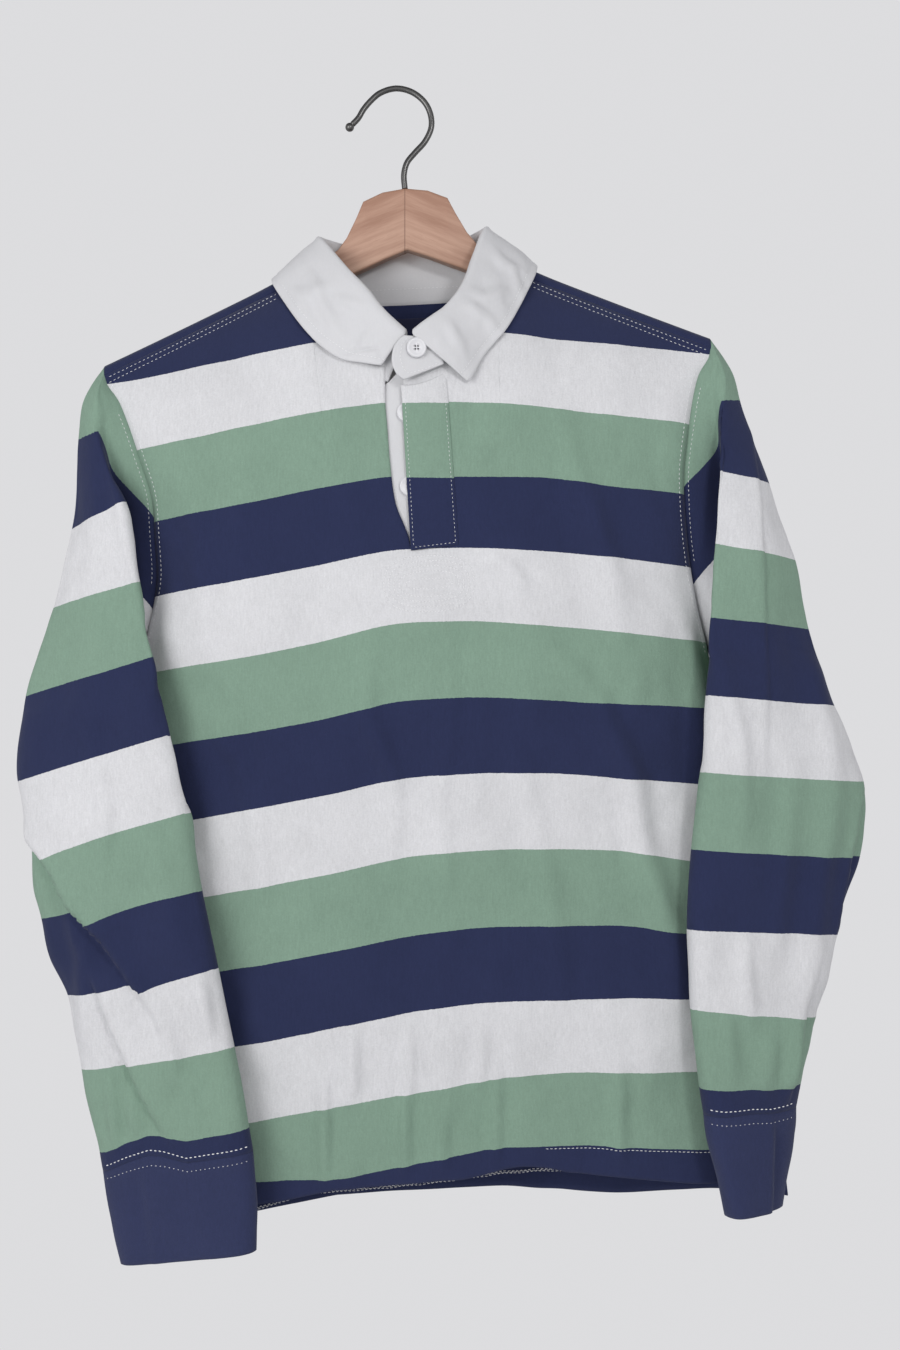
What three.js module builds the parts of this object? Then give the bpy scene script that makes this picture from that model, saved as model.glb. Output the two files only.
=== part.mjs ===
// A long-sleeved rugby shirt on a wooden coat hanger, in millimetres, +Z up.
// The front of the shirt faces -Y. The origin is the point under the top of the hanger's hook that carries it.
// Every piece is first placed as if the hanger hung straight; one outer group then tilts them all.
import * as THREE from "three";

const V = (x, y, z) => new THREE.Vector3(x, y, z);
const X_AXIS = V(1, 0, 0);
const Y_AXIS = V(0, 1, 0);

// Driving dimensions
const HANG_TILT_DEG = 2.6; // the hanger hangs with its left end low
const CLOTH = 1.6; // thickness of the jersey
const SEAM_GAP = 0.3; // between pieces that are sewn edge to edge
const LAY_GAP = 0.5; // between a piece and the panel that it lies on
const SHOULDER_HALF = 198;
const NECK_HALF = 68;
const ARMPIT_Z = -385;
const SIDE_Y = 4; // the side seams, between front and back
const BACK_HEM_Z = -748;

// The shoulder line, over the hanger's arms
const CREST_NECK_Z = -117;
const CREST_SLOPE = 0.472;
const SEAM_DROP = 7; // the shoulder seam lies this far below the crest, on the front side
const SEAM_FORWARD = 8;
const ARM_SWEEP = 20; // the arms' tips come forward by this much
const ARM_STRAIGHT = 60;

// The neck seam, a ring round the hanger's neck
const NECK = { sideY: -8, sideZ: -124, frontReach: 44, backReach: 22, frontDrop: 79, backDrop: 16 };
const NECK_FRONT_BEND = 1.3; // powers of the ring's front dip, and of its squarer back
const NECK_BACK_BEND = 4;
const NECK_BACK_WIDE = 0.35;
const NECK_BACK_DEEP = 0.7;

// The placket's slit in the front panel, by its places on the neck seam
const SLIT = { left: -12, right: -3, end: 0.2 };
const PLACKET_RIGHT = 32;

const radians = THREE.MathUtils.degToRad;
const mix = THREE.MathUtils.lerp;
const clamp = THREE.MathUtils.clamp;

// The value in a named column of a table whose rows run down in z, with straight steps between rows.
function along(table, z, column) {
  if (z >= table[0].z) return table[0][column];
  for (let i = 1; i < table.length; i++) {
    const [above, below] = [table[i - 1], table[i]];
    if (z >= below.z) return mix(below[column], above[column], (z - below.z) / (above.z - below.z));
  }
  return table[table.length - 1][column];
}

// The same with smooth steps that never pass beyond the rows' own values.
function smoothAlong(table, z, column) {
  let i = table.findIndex((row) => row.z <= z);
  if (i === 0) return table[0][column];
  if (i < 0) return table[table.length - 1][column];
  const row = (k) => table[clamp(k, 0, table.length - 1)];
  const [p0, p1, p2, p3] = [row(i - 2), row(i - 1), row(i), row(i + 1)];
  const t = (p1.z - z) / (p1.z - p2.z);
  const turns = (a, b, c) => (b[column] - a[column]) * (c[column] - b[column]) <= 0;
  const m1 = turns(p0, p1, p2) ? 0 : ((p2[column] - p0[column]) * (p1.z - p2.z)) / (p0.z - p2.z);
  const m2 = turns(p1, p2, p3) ? 0 : ((p3[column] - p1[column]) * (p1.z - p2.z)) / (p1.z - p3.z);
  const [t2, t3] = [t * t, t * t * t];
  return (
    (2 * t3 - 3 * t2 + 1) * p1[column] + (t3 - 2 * t2 + t) * m1 +
    (3 * t2 - 2 * t3) * p2[column] + (t3 - t2) * m2
  );
}

// A soft line through points told from left to right.
function lineThrough(points, u) {
  const found = points.findIndex((p) => p.u >= u);
  const i = found < 0 ? points.length - 1 : Math.max(found, 1);
  const [a, b] = [points[i - 1], points[i]];
  const t = clamp((u - a.u) / (b.u - a.u), 0, 1);
  return mix(a.z, b.z, t * t * (3 - 2 * t));
}

// Body: half-widths to the armhole or side seam, and how far the cloth stands from the hanger's plane.
// left and right are half-widths, edge is the armhole seam's depth on the front, belly the front's depth in the middle.
const BODY = [
  { z: -186, left: 198, right: 198, backHalf: 198, edge: -29, backEdge: -29, belly: -50 },
  { z: -205, left: 188, right: 188, backHalf: 195, edge: -30, backEdge: -8, belly: -51 },
  { z: -240, left: 177, right: 180, backHalf: 191, edge: -29, backEdge: 4, belly: -50 },
  { z: -272, left: 170, right: 176, backHalf: 188, edge: -26, backEdge: 8, belly: -48 },
  { z: -310, left: 170, right: 177, backHalf: 187, edge: -21, backEdge: 9, belly: -46 },
  { z: -345, left: 177, right: 182, backHalf: 188, edge: -12, backEdge: 8, belly: -45 },
  { z: ARMPIT_Z, left: 191, right: 191, backHalf: 191, edge: SIDE_Y, backEdge: SIDE_Y, belly: -43 },
  { z: -450, left: 198, right: 200, backHalf: 200, edge: SIDE_Y, backEdge: SIDE_Y, belly: -40 },
  { z: -550, left: 206, right: 209, backHalf: 209, edge: SIDE_Y, backEdge: SIDE_Y, belly: -37 },
  { z: -650, left: 211, right: 218, backHalf: 218, edge: SIDE_Y, backEdge: SIDE_Y, belly: -34 },
  { z: BACK_HEM_Z, left: 214, right: 228, backHalf: 228, edge: SIDE_Y, backEdge: SIDE_Y, belly: -30 },
];
const BACK_Y = 16; // the back hangs flat at this depth
const ROUNDING = 2.6; // the power of the rounded sides

// The large soft folds of the front: each runs from a top point to a foot, rising by height to a width of reach.
const FRONT_FOLDS = [
  { topX: 92, topZ: -205, footX: 172, footZ: -600, reach: 16, height: 3.4 },
  { topX: 50, topZ: -300, footX: 150, footZ: -660, reach: 13, height: 2.6 },
  { topX: 128, topZ: -235, footX: 168, footZ: -420, reach: 12, height: 2.2 },
  { topX: -42, topZ: -320, footX: -58, footZ: -560, reach: 14, height: 3.0 },
  { topX: -40, topZ: -560, footX: -84, footZ: -730, reach: 10, height: 3.0 },
  { topX: 6, topZ: -590, footX: -14, footZ: -728, reach: 9, height: 3.2 },
  { topX: 60, topZ: -600, footX: 48, footZ: -722, reach: 10, height: 3.0 },
  { topX: -128, topZ: -215, footX: -120, footZ: -360, reach: 18, height: 2.0 },
];
const BACK_FOLDS = [
  { topX: -70, topZ: -190, footX: -96, footZ: -650, reach: 20, height: 3.0 },
  { topX: 20, topZ: -180, footX: 8, footZ: -560, reach: 22, height: 2.6 },
  { topX: 104, topZ: -200, footX: 128, footZ: -690, reach: 20, height: 3.2 },
  { topX: -10, topZ: -480, footX: -30, footZ: -748, reach: 14, height: 2.8 },
  { topX: 70, topZ: -520, footX: 60, footZ: -748, reach: 14, height: 2.6 },
];

// How far folds lift the cloth at a point, rounded across and faded at both ends.
function foldLift(folds, x, z) {
  let lift = 0;
  for (const f of folds) {
    const t = (f.topZ - z) / (f.topZ - f.footZ);
    if (t < -0.15 || t > 1.15) continue;
    const away = (x - mix(f.topX, f.footX, t)) / f.reach;
    const fade = clamp((t + 0.15) / 0.35, 0, 1) * clamp((1.15 - t) / 0.35, 0, 1);
    lift += f.height * fade * Math.exp(-away * away);
  }
  return lift;
}

const crestZ = (x) => CREST_NECK_Z - CREST_SLOPE * Math.max(Math.abs(x) - NECK_HALF, 0);
const armY = (x) => -ARM_SWEEP * Math.max((Math.abs(x) - ARM_STRAIGHT) / (SHOULDER_HALF - ARM_STRAIGHT), 0) ** 1.5;
const shoulderSeam = (x) => V(x, armY(x) - SEAM_FORWARD, crestZ(x) - SEAM_DROP);

// A point of the neck seam. The turn is 0 at the front, 90 degrees at the right side and 180 at the back.
// The back half is squarer than the front half, so that it goes over the hanger's arm and then behind it.
function neckSeam(turn) {
  const c = Math.cos(radians(turn));
  const s = Math.sin(radians(turn));
  if (c >= 0) {
    const z = NECK.sideZ - NECK.frontDrop * c ** NECK_FRONT_BEND;
    return V(NECK_HALF * s, NECK.sideY - NECK.frontReach * c, z);
  }
  return V(
    NECK_HALF * Math.sign(s) * Math.abs(s) ** NECK_BACK_WIDE,
    NECK.sideY + NECK.backReach * (-c) ** NECK_BACK_DEEP,
    NECK.sideZ - NECK.backDrop * c ** NECK_BACK_BEND,
  );
}
const turnOf = (sine) => THREE.MathUtils.radToDeg(Math.asin(clamp(sine, -1, 1)));
// The way up along the cloth at the neck seam: the collar's stand leans in at the sides.
const standUp = (turn) => V(-0.4 * Math.sin(radians(turn)), 0.12 * Math.cos(radians(turn)), 1).normalize();
const NECK_STEP = 2; // degrees, for the seam's own direction
function neckNormal(turn) {
  const centre = V(0, NECK.sideY, 0);
  const out = neckSeam(turn).sub(centre).setZ(0);
  return seamNormal(neckSeam(turn - NECK_STEP), neckSeam(turn + NECK_STEP), standUp(turn), out);
}
const frontTurn = (x) => turnOf(x / NECK_HALF);
const backTurn = (x) => 180 - turnOf(Math.sign(x) * Math.abs(x / NECK_HALF) ** (1 / NECK_BACK_WIDE));
const frontTop = (x) => (Math.abs(x) < NECK_HALF ? neckSeam(frontTurn(x)) : shoulderSeam(x));
const backTop = (x) => (Math.abs(x) < NECK_HALF ? neckSeam(backTurn(x)) : shoulderSeam(x));
const edgeZ = (v, hem) => mix(shoulderSeam(SHOULDER_HALF).z, hem, v);
const roundSide = (u) => Math.max(1 - Math.abs(u) ** ROUNDING, 0) ** (1 / ROUNDING);

// The hems, by shares of the half-width: both ride up in the middle, the front one more.
const FRONT_HEM = [
  { u: -1, z: -731 },
  { u: -0.55, z: -729 },
  { u: -0.34, z: -721.5 },
  { u: 0.05, z: -717.5 },
  { u: 0.22, z: -711 },
  { u: 0.48, z: -722 },
  { u: 0.78, z: -730 },
  { u: 1, z: -731 },
];
const BACK_HEM = [
  { u: -1, z: BACK_HEM_Z },
  { u: -0.62, z: -747 },
  { u: -0.4, z: -737 },
  { u: -0.1, z: -736 },
  { u: 0.14, z: -735.5 },
  { u: 0.29, z: -739 },
  { u: 0.56, z: -744.5 },
  { u: 0.75, z: -743 },
  { u: 1, z: BACK_HEM_Z },
];
const frontHem = (u) => lineThrough(FRONT_HEM, u);
const backHem = (u) => lineThrough(BACK_HEM, u);

// The front panel's middle surface. Columns are told by their x on the top edge, rows by v from 0 there to 1 at the hem.
const NECK_EASE = 10; // the cloth turns down from its top edge within about this distance
const SHOULDER_EASE = 36;
const ease = (topX) => mix(NECK_EASE, SHOULDER_EASE, clamp(Math.abs(topX) / 80, 0, 1));
function frontPoint(topX, v) {
  const u = topX / SHOULDER_HALF;
  const top = frontTop(topX);
  const z = mix(top.z, frontHem(u), v);
  const atEdge = edgeZ(v, frontHem(1));
  const x = u * smoothAlong(BODY, atEdge, u < 0 ? "left" : "right");
  const edge = smoothAlong(BODY, atEdge, "edge");
  const hang = mix(edge, smoothAlong(BODY, z, "belly"), roundSide(u)) - foldLift(FRONT_FOLDS, x, z) * roundSide(u);
  return V(x, hang + (top.y - hang) * Math.exp((z - top.z) / ease(topX)), z);
}

// The depth of the front at a place seen from the front.
function frontAt(x, z) {
  let [topX, v] = [x, 0.2];
  for (let i = 0; i < 8; i++) {
    const half = smoothAlong(BODY, edgeZ(v, frontHem(1)), x < 0 ? "left" : "right");
    topX = clamp((x / half) * SHOULDER_HALF, -SHOULDER_HALF, SHOULDER_HALF);
    const top = frontTop(topX).z;
    v = clamp((top - z) / (top - frontHem(topX / SHOULDER_HALF)), 0, 1);
  }
  return frontPoint(topX, v).y;
}

// The back panel's middle surface. Its first rows go over the hanger's arm, from the seam on its front side.
const CREST_PATH = [
  { back: 0, up: 0 },
  { back: 2.2, up: 4.6 },
  { back: 8, up: 7 },
  { back: 14, up: 4.6 },
  { back: 16.6, up: -2 },
];
const CREST_ROWS = CREST_PATH.length - 1;
function backPoint(topX, row, v) {
  const u = topX / SHOULDER_HALF;
  const top = backTop(topX);
  const over = clamp((Math.abs(topX) - 58) / 9, 0, 1);
  const crest = CREST_PATH[Math.min(row, CREST_ROWS)];
  const flat = { back: 0, up: -1.5 * Math.min(row, CREST_ROWS) };
  const start = V(top.x, top.y + mix(flat.back, crest.back, over), top.z + mix(flat.up, crest.up, over));
  if (row <= CREST_ROWS) return start;
  const hem = backHem(u);
  const z = mix(start.z, hem, v);
  const atEdge = mix(shoulderSeam(SHOULDER_HALF).z - 2, hem, v);
  const half = atEdge > ARMPIT_Z ? "backHalf" : u < 0 ? "left" : "right";
  const x = u * smoothAlong(BODY, atEdge, half);
  const edge = smoothAlong(BODY, atEdge, "backEdge");
  const hang = mix(edge, BACK_Y, roundSide(u)) + foldLift(BACK_FOLDS, x, z) * roundSide(u);
  return V(x, hang + (start.y - hang) * Math.exp((z - start.z) / NECK_EASE), z);
}

// A closed wall round a grid of middle points. A closed grid joins its last column to its first.
// keep tells which cells are there, and normals may set a point's direction where two pieces are sewn together.
// flip says that the columns run the other way, so that the first side would face inwards.
function wall(rows, options = {}) {
  const { thick = CLOTH, closed = false, keep = () => true, normals = () => null, flip = false } = options;
  const [m, n] = [rows.length, rows[0].length];
  const at = (i, j) => rows[clamp(i, 0, m - 1)][closed ? (j + n) % n : clamp(j, 0, n - 1)];
  const positions = [];
  for (const side of [0.5, -0.5]) {
    for (let i = 0; i < m; i++) {
      for (let j = 0; j < n; j++) {
        const across = at(i, j + 1).clone().sub(at(i, j - 1));
        const down = at(i + 1, j).clone().sub(at(i - 1, j));
        const normal = normals(i, j) || across.cross(down).normalize().multiplyScalar(flip ? -1 : 1);
        positions.push(...at(i, j).clone().addScaledVector(normal, side * thick).toArray());
      }
    }
  }
  const cells = closed ? n : n - 1;
  const there = (i, j) => i >= 0 && i < m - 1 && (closed || (j >= 0 && j < cells)) && keep(i, (j + n) % n);
  const id = (i, j, inner) => i * n + ((j + n) % n) + (inner ? m * n : 0);
  const index = [];
  const quad = (a, b, c, d) => index.push(...(flip ? [a, c, b, a, d, c] : [a, b, c, a, c, d]));
  for (let i = 0; i < m - 1; i++) {
    for (let j = 0; j < cells; j++) {
      if (!there(i, j)) continue;
      quad(id(i, j), id(i, j + 1), id(i + 1, j + 1), id(i + 1, j));
      quad(id(i, j, 1), id(i + 1, j, 1), id(i + 1, j + 1, 1), id(i, j + 1, 1));
      if (!there(i - 1, j)) quad(id(i, j), id(i, j, 1), id(i, j + 1, 1), id(i, j + 1));
      if (!there(i + 1, j)) quad(id(i + 1, j + 1), id(i + 1, j + 1, 1), id(i + 1, j, 1), id(i + 1, j));
      if (!there(i, j - 1)) quad(id(i + 1, j), id(i + 1, j, 1), id(i, j, 1), id(i, j));
      if (!there(i, j + 1)) quad(id(i, j + 1), id(i, j + 1, 1), id(i + 1, j + 1, 1), id(i + 1, j + 1));
    }
  }
  return solid(positions, index);
}

function solid(positions, index) {
  const geometry = new THREE.BufferGeometry();
  geometry.setAttribute("position", new THREE.Float32BufferAttribute(positions, 3));
  geometry.setIndex(index);
  return geometry;
}

// A solid through closed rings of points, with flat ends.
function loft(rings) {
  const n = rings[0].length;
  const positions = rings.flat().flatMap((p) => p.toArray());
  const index = [];
  for (let i = 0; i < rings.length - 1; i++) {
    for (let j = 0; j < n; j++) {
      const [a, b] = [i * n + j, i * n + ((j + 1) % n)];
      index.push(a, b + n, b, a, a + n, b + n);
    }
  }
  for (let j = 1; j < n - 1; j++) {
    const far = (rings.length - 1) * n;
    index.push(0, j, j + 1);
    index.push(far, far + j + 1, far + j);
  }
  return solid(positions, index);
}

// The direction that a seam's two pieces share, so that their edges face each other.
// Both are square to the seam and to the way across it; side tells which way is out.
function seamNormal(before, after, across, out) {
  const normal = after.clone().sub(before).cross(across).normalize();
  return normal.dot(out) < 0 ? normal.negate() : normal;
}

// Materials
const finish = (color, roughness, metalness = 0) => new THREE.MeshStandardMaterial({ color, roughness, metalness });
const STRIPED = finish(0x34406b, 0.9);
const WHITE = finish(0xe4e4e6, 0.85);
const NAVY = finish(0x323c66, 0.92);
const LABEL = finish(0x232a4a, 0.7);
const BUTTON = finish(0xe9e9ec, 0.45);
const WOOD = finish(0xc89a78, 0.5);
const STEEL = finish(0x5b5c5c, 0.35, 1);

const shirt = new THREE.Group();
function add(name, geometry, material) {
  const mesh = new THREE.Mesh(geometry, material);
  mesh.name = name;
  shirt.add(mesh);
}

// Columns of the body by their x on the top edge, with one on each neck point and on each side of the slit
const SHOULDER_STEPS = 6;
const shoulderColumns = [];
for (let k = 1; k <= SHOULDER_STEPS; k++) {
  const far = Math.sin((Math.PI / 2) * (k / SHOULDER_STEPS));
  shoulderColumns.push(mix(NECK_HALF, SHOULDER_HALF, far));
}
const NECK_FRONT = [-68, -64, -54, -40, -26, SLIT.left, SLIT.right, 10, 21, PLACKET_RIGHT, 44, 55, 64, 68];
const NECK_BACK = [-68, -67.3, -65.5, -62, -52, -36, -12, 12, 36, 52, 62, 65.5, 67.3, 68];
const mirrored = shoulderColumns.map((x) => -x).reverse();
const FRONT_COLUMNS = [...mirrored, ...NECK_FRONT, ...shoulderColumns];
const BACK_COLUMNS = [...mirrored, ...NECK_BACK, ...shoulderColumns];

// Rows of the body, with one at the slit's end and one at the armpit
const ARMPIT_V = (shoulderSeam(SHOULDER_HALF).z - ARMPIT_Z) / (shoulderSeam(SHOULDER_HALF).z - frontHem(1));
const FRONT_ROWS = [0, 0.012, 0.03, 0.06, 0.1, 0.15, SLIT.end, 0.25, 0.31, ARMPIT_V];
for (let k = 1; k <= 9; k++) FRONT_ROWS.push(mix(ARMPIT_V, 1, k / 9));
const ARMPIT_ROW = 9;
const backEdgeTop = shoulderSeam(SHOULDER_HALF).z - 2;
const backSideHem = backHem(1);
const backV = (z) => (backEdgeTop - z) / (backEdgeTop - backSideHem);
const BACK_ROWS = [0, 0, 0, 0, 0];
for (let k = 1; k <= ARMPIT_ROW; k++) BACK_ROWS.push(backV(edgeZ(FRONT_ROWS[k], frontHem(1))));
for (let k = 1; k <= 8; k++) BACK_ROWS.push(mix(backV(ARMPIT_Z), 1, k / 8));
const BACK_ARMPIT_ROW = CREST_ROWS + ARMPIT_ROW;

// The slit narrows from the neck to its end, by moving its left side towards its right side.
function slitX(v) {
  const gap = (SLIT.right - SLIT.left) * Math.max(1 - v / SLIT.end, 0) ** 0.8;
  return SLIT.right - Math.max(gap, 1.2);
}
const frontColumnX = (topX, v) => (topX === SLIT.left && v <= SLIT.end ? slitX(v) : topX);

const frontGrid = FRONT_ROWS.map((v) => FRONT_COLUMNS.map((x) => frontPoint(frontColumnX(x, v), v)));
const backGrid = BACK_ROWS.map((v, row) => BACK_COLUMNS.map((x) => backPoint(x, row, v)));
const SLIT_COLUMN = FRONT_COLUMNS.indexOf(SLIT.left);
const SLIT_END_ROW = FRONT_ROWS.indexOf(SLIT.end);

// The armhole as the front and back edges of the body, from the shoulder to the armpit
const edgeOf = (grid, side, lastRow) => grid.slice(0, lastRow + 1).map((row) => row[side < 0 ? 0 : row.length - 1]);
const armholes = {};
for (const side of [-1, 1]) {
  armholes[side] = {
    front: edgeOf(frontGrid, side, ARMPIT_ROW),
    back: edgeOf(backGrid, side, BACK_ARMPIT_ROW),
  };
}

// Normals for a body panel's sewn edges
const ACROSS_SHOULDER = V(0, 0.45, 0.89);
function panelNormals(grid, out, armpitRow) {
  const last = grid[0].length - 1;
  return (i, j) => {
    const at = (r, c) => grid[clamp(r, 0, grid.length - 1)][clamp(c, 0, last)];
    const isShoulder = i === 0 && Math.abs(at(i, j).x) > NECK_HALF - 1;
    if (isShoulder) return seamNormal(at(i, j - 1), at(i, j + 1), ACROSS_SHOULDER, V(0, -1, 0.3));
    if (i === 0) return neckNormal(out < 0 ? frontTurn(at(i, j).x) : backTurn(at(i, j).x));
    if (j > 0 && j < last) return null;
    const side = j === 0 ? -1 : 1;
    if (i < armpitRow) {
      const outward = i <= 2 && out > 0 ? V(0, i - 1, 2) : V(0, out, 0.2);
      return seamNormal(at(i - 1, j), at(i + 1, j), X_AXIS, outward);
    }
    return seamNormal(at(i - 1, j), at(i + 1, j), Y_AXIS, V(side, 0, 0));
  };
}

// Each sewn edge is drawn back by half a seam gap.
function drawBack(grid, out, armpitRow) {
  const half = SEAM_GAP / 2;
  return grid.map((row, i) =>
    row.map((p, j) => {
      const q = p.clone();
      const isEdge = j === 0 || j === row.length - 1;
      if (i === 0 && Math.abs(p.x) > NECK_HALF - 1) q.addScaledVector(ACROSS_SHOULDER, out * half);
      if (isEdge && i <= armpitRow) q.x -= Math.sign(p.x) * half;
      if (isEdge && i >= armpitRow) q.y += out * half;
      return q;
    }),
  );
}

// The lists of normals along both armholes, which the sleeves follow
const armholeNormals = { "-1": {}, 1: {} };
function bodyPanel(name, grid, out, armpitRow, keep) {
  const rows = drawBack(grid, out, armpitRow);
  const normals = panelNormals(grid, out, armpitRow);
  for (const side of [-1, 1]) {
    armholeNormals[side][name] = grid.slice(0, armpitRow).map((row, i) => normals(i, side < 0 ? 0 : row.length - 1));
  }
  add(name, wall(rows, { keep, normals, flip: out < 0 }), STRIPED);
}

bodyPanel("front", frontGrid, -1, ARMPIT_ROW, (i, j) => !(j === SLIT_COLUMN && i < SLIT_END_ROW));
bodyPanel("back", backGrid, 1, BACK_ARMPIT_ROW, () => true);

// A patch of cloth on the front panel, made from its points and moved out along its normals.
function onFront(columns, rows, outward, options = {}) {
  const place = (x, v) => {
    const step = 0.004;
    const across = frontPoint(x + 1, v).sub(frontPoint(x - 1, v));
    const down = frontPoint(x, v + step).sub(frontPoint(x, Math.max(v - step, 0)));
    return frontPoint(x, v).addScaledVector(down.cross(across).normalize(), outward);
  };
  return wall(rows.map((v) => columns.map((x) => place(x, v))), options);
}

add("over_placket", onFront([-2.6, 7, 17, 26, PLACKET_RIGHT], [0.008, 0.03, 0.06, 0.1, 0.15, 0.197], 1.6 + LAY_GAP), STRIPED);
add("under_placket", onFront([-16, -7, 2, 11, 20], [0.004, 0.03, 0.06, 0.1, 0.15, 0.21], -4.3, { thick: 1.2 }), WHITE);

// Sleeves. out is the outer edge seen from the front and fold the inner fold of the front layer, both as
// distance from the middle and height. Row 0 is on the shoulder; rows 1 to 9 end on the armhole.
const SLEEVE = {
  "-1": [
    { outX: 206, outZ: -192, foldX: 203, foldZ: -202 },
    { outX: 212, outZ: -203, foldX: 204, foldZ: -214 },
    { outX: 215, outZ: -221, foldX: 201, foldZ: -231 },
    { outX: 218, outZ: -246, foldX: 195, foldZ: -252 },
    { outX: 222, outZ: -277, foldX: 188, foldZ: -272 },
    { outX: 230, outZ: -306, foldX: 184, foldZ: -299 },
    { outX: 237, outZ: -333, foldX: 180, foldZ: -324 },
    { outX: 248, outZ: -363, foldX: 175, foldZ: -355 },
    { outX: 257, outZ: -388, foldX: 171, foldZ: -378 },
    { outX: 262, outZ: -411, foldX: 167, foldZ: -398 },
    { outX: 266, outZ: -440, foldX: 162, foldZ: -421 },
    { outX: 262, outZ: -466, foldX: 158, foldZ: -446 },
    { outX: 250, outZ: -494, foldX: 153, foldZ: -471 },
    { outX: 252, outZ: -516, foldX: 151, foldZ: -496 },
    { outX: 254, outZ: -537, foldX: 148, foldZ: -521 },
    { outX: 248, outZ: -562, foldX: 144, foldZ: -546 },
    { outX: 241, outZ: -588, foldX: 140, foldZ: -571 },
    { outX: 237, outZ: -612, foldX: 136, foldZ: -597 },
    { outX: 233, outZ: -636, foldX: 132, foldZ: -622 },
    { outX: 229, outZ: -662, foldX: 128, foldZ: -648 },
    { outX: 224, outZ: -684, foldX: 125, foldZ: -673 },
    { outX: 222, outZ: -699, foldX: 123, foldZ: -689 },
  ],
  1: [
    { outX: 206, outZ: -194, foldX: 204, foldZ: -202 },
    { outX: 211, outZ: -204, foldX: 204, foldZ: -214 },
    { outX: 215, outZ: -222, foldX: 201, foldZ: -229 },
    { outX: 221, outZ: -243, foldX: 199, foldZ: -248 },
    { outX: 230, outZ: -272, foldX: 197, foldZ: -268 },
    { outX: 238, outZ: -301, foldX: 194, foldZ: -296 },
    { outX: 246, outZ: -326, foldX: 192, foldZ: -320 },
    { outX: 251, outZ: -358, foldX: 189, foldZ: -350 },
    { outX: 256, outZ: -383, foldX: 186, foldZ: -376 },
    { outX: 262, outZ: -404, foldX: 184, foldZ: -396 },
    { outX: 268, outZ: -424, foldX: 182, foldZ: -413 },
    { outX: 277, outZ: -448, foldX: 180, foldZ: -436 },
    { outX: 284, outZ: -472, foldX: 177, foldZ: -460 },
    { outX: 285, outZ: -494, foldX: 173, foldZ: -483 },
    { outX: 281, outZ: -521, foldX: 169, foldZ: -509 },
    { outX: 271, outZ: -545, foldX: 166, foldZ: -534 },
    { outX: 261, outZ: -569, foldX: 164, foldZ: -560 },
    { outX: 253, outZ: -596, foldX: 164, foldZ: -585 },
    { outX: 246, outZ: -623, foldX: 164, foldZ: -611 },
    { outX: 239, outZ: -647, foldX: 166, foldZ: -638 },
    { outX: 233, outZ: -668, foldX: 168, foldZ: -662 },
    { outX: 230, outZ: -683, foldX: 170, foldZ: -678 },
  ],
};
const CUFF = {
  "-1": [
    { outX: 222, outZ: -699, foldX: 123, foldZ: -689 },
    { outX: 221, outZ: -711, foldX: 122, foldZ: -701 },
    { outX: 217, outZ: -737, foldX: 122, foldZ: -727 },
    { outX: 212, outZ: -764, foldX: 124, foldZ: -753 },
  ],
  1: [
    { outX: 230, outZ: -683, foldX: 170, foldZ: -678 },
    { outX: 230, outZ: -695, foldX: 171, foldZ: -690 },
    { outX: 225, outZ: -720, foldX: 176, foldZ: -717 },
    { outX: 219, outZ: -745, foldX: 182, outY: -24, foldZ: -745 },
  ],
};
const SLEEVE_OUT_Y = -24; // depth of the outer edge, and of the inner fold in front of the body
const SLEEVE_FOLD_Y = -48;
const SLEEVE_DEEP = 12; // half the sleeve's depth where it hangs free
const CUFF_DEEP = 10;

// The section of a hanging sleeve. along runs from -1 at the inner edge to 1 at the outer edge; front is 1 on the front layer.
const SECTION = [
  { along: -0.9, front: -0.62 },
  { along: -0.97, front: -0.4 },
  { along: -1, front: -0.15 },
  { along: -1, front: 0.15 },
  { along: -0.96, front: 0.5 },
  { along: -0.86, front: 0.8 },
  { along: -0.6, front: 0.98 },
  { along: -0.2, front: 1 },
  { along: 0.25, front: 0.98 },
  { along: 0.68, front: 0.8 },
  { along: 0.92, front: 0.45 },
  { along: 1, front: 0 },
  { along: 0.88, front: -0.6 },
  { along: 0.5, front: -0.95 },
  { along: 0, front: -1 },
  { along: -0.5, front: -0.95 },
];
const OUTER_COLUMN = 11;
const FOLD_COLUMN = 4;

// The long folds of the sleeves, by distance from the middle
const SLEEVE_FOLDS = {
  "-1": [
    { topX: 236, topZ: -460, footX: 158, footZ: -560, reach: 7, height: 5 },
    { topX: 222, topZ: -560, footX: 150, footZ: -668, reach: 7, height: 5 },
    { topX: 212, topZ: -420, footX: 226, footZ: -640, reach: 12, height: 3 },
    { topX: 206, topZ: -250, footX: 212, footZ: -400, reach: 9, height: 2.5 },
  ],
  1: [
    { topX: 222, topZ: -262, footX: 226, footZ: -460, reach: 7, height: 3.5 },
    { topX: 206, topZ: -430, footX: 196, footZ: -650, reach: 9, height: 3.5 },
    { topX: 258, topZ: -460, footX: 226, footZ: -660, reach: 9, height: 4 },
  ],
};

function hangingRing(row, side, deep) {
  const out = V(side * row.outX, row.outY ?? SLEEVE_OUT_Y, row.outZ);
  const fold = V(side * row.foldX, row.foldY ?? SLEEVE_FOLD_Y, row.foldZ);
  const middle = out.clone().lerp(fold, 0.5);
  const half = out.clone().sub(fold).divideScalar(2);
  const front = V(half.y * side, -Math.abs(half.x), 0).normalize();
  return SECTION.map((p) => middle.clone().addScaledVector(half, p.along).addScaledVector(front, p.front * deep));
}

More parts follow.
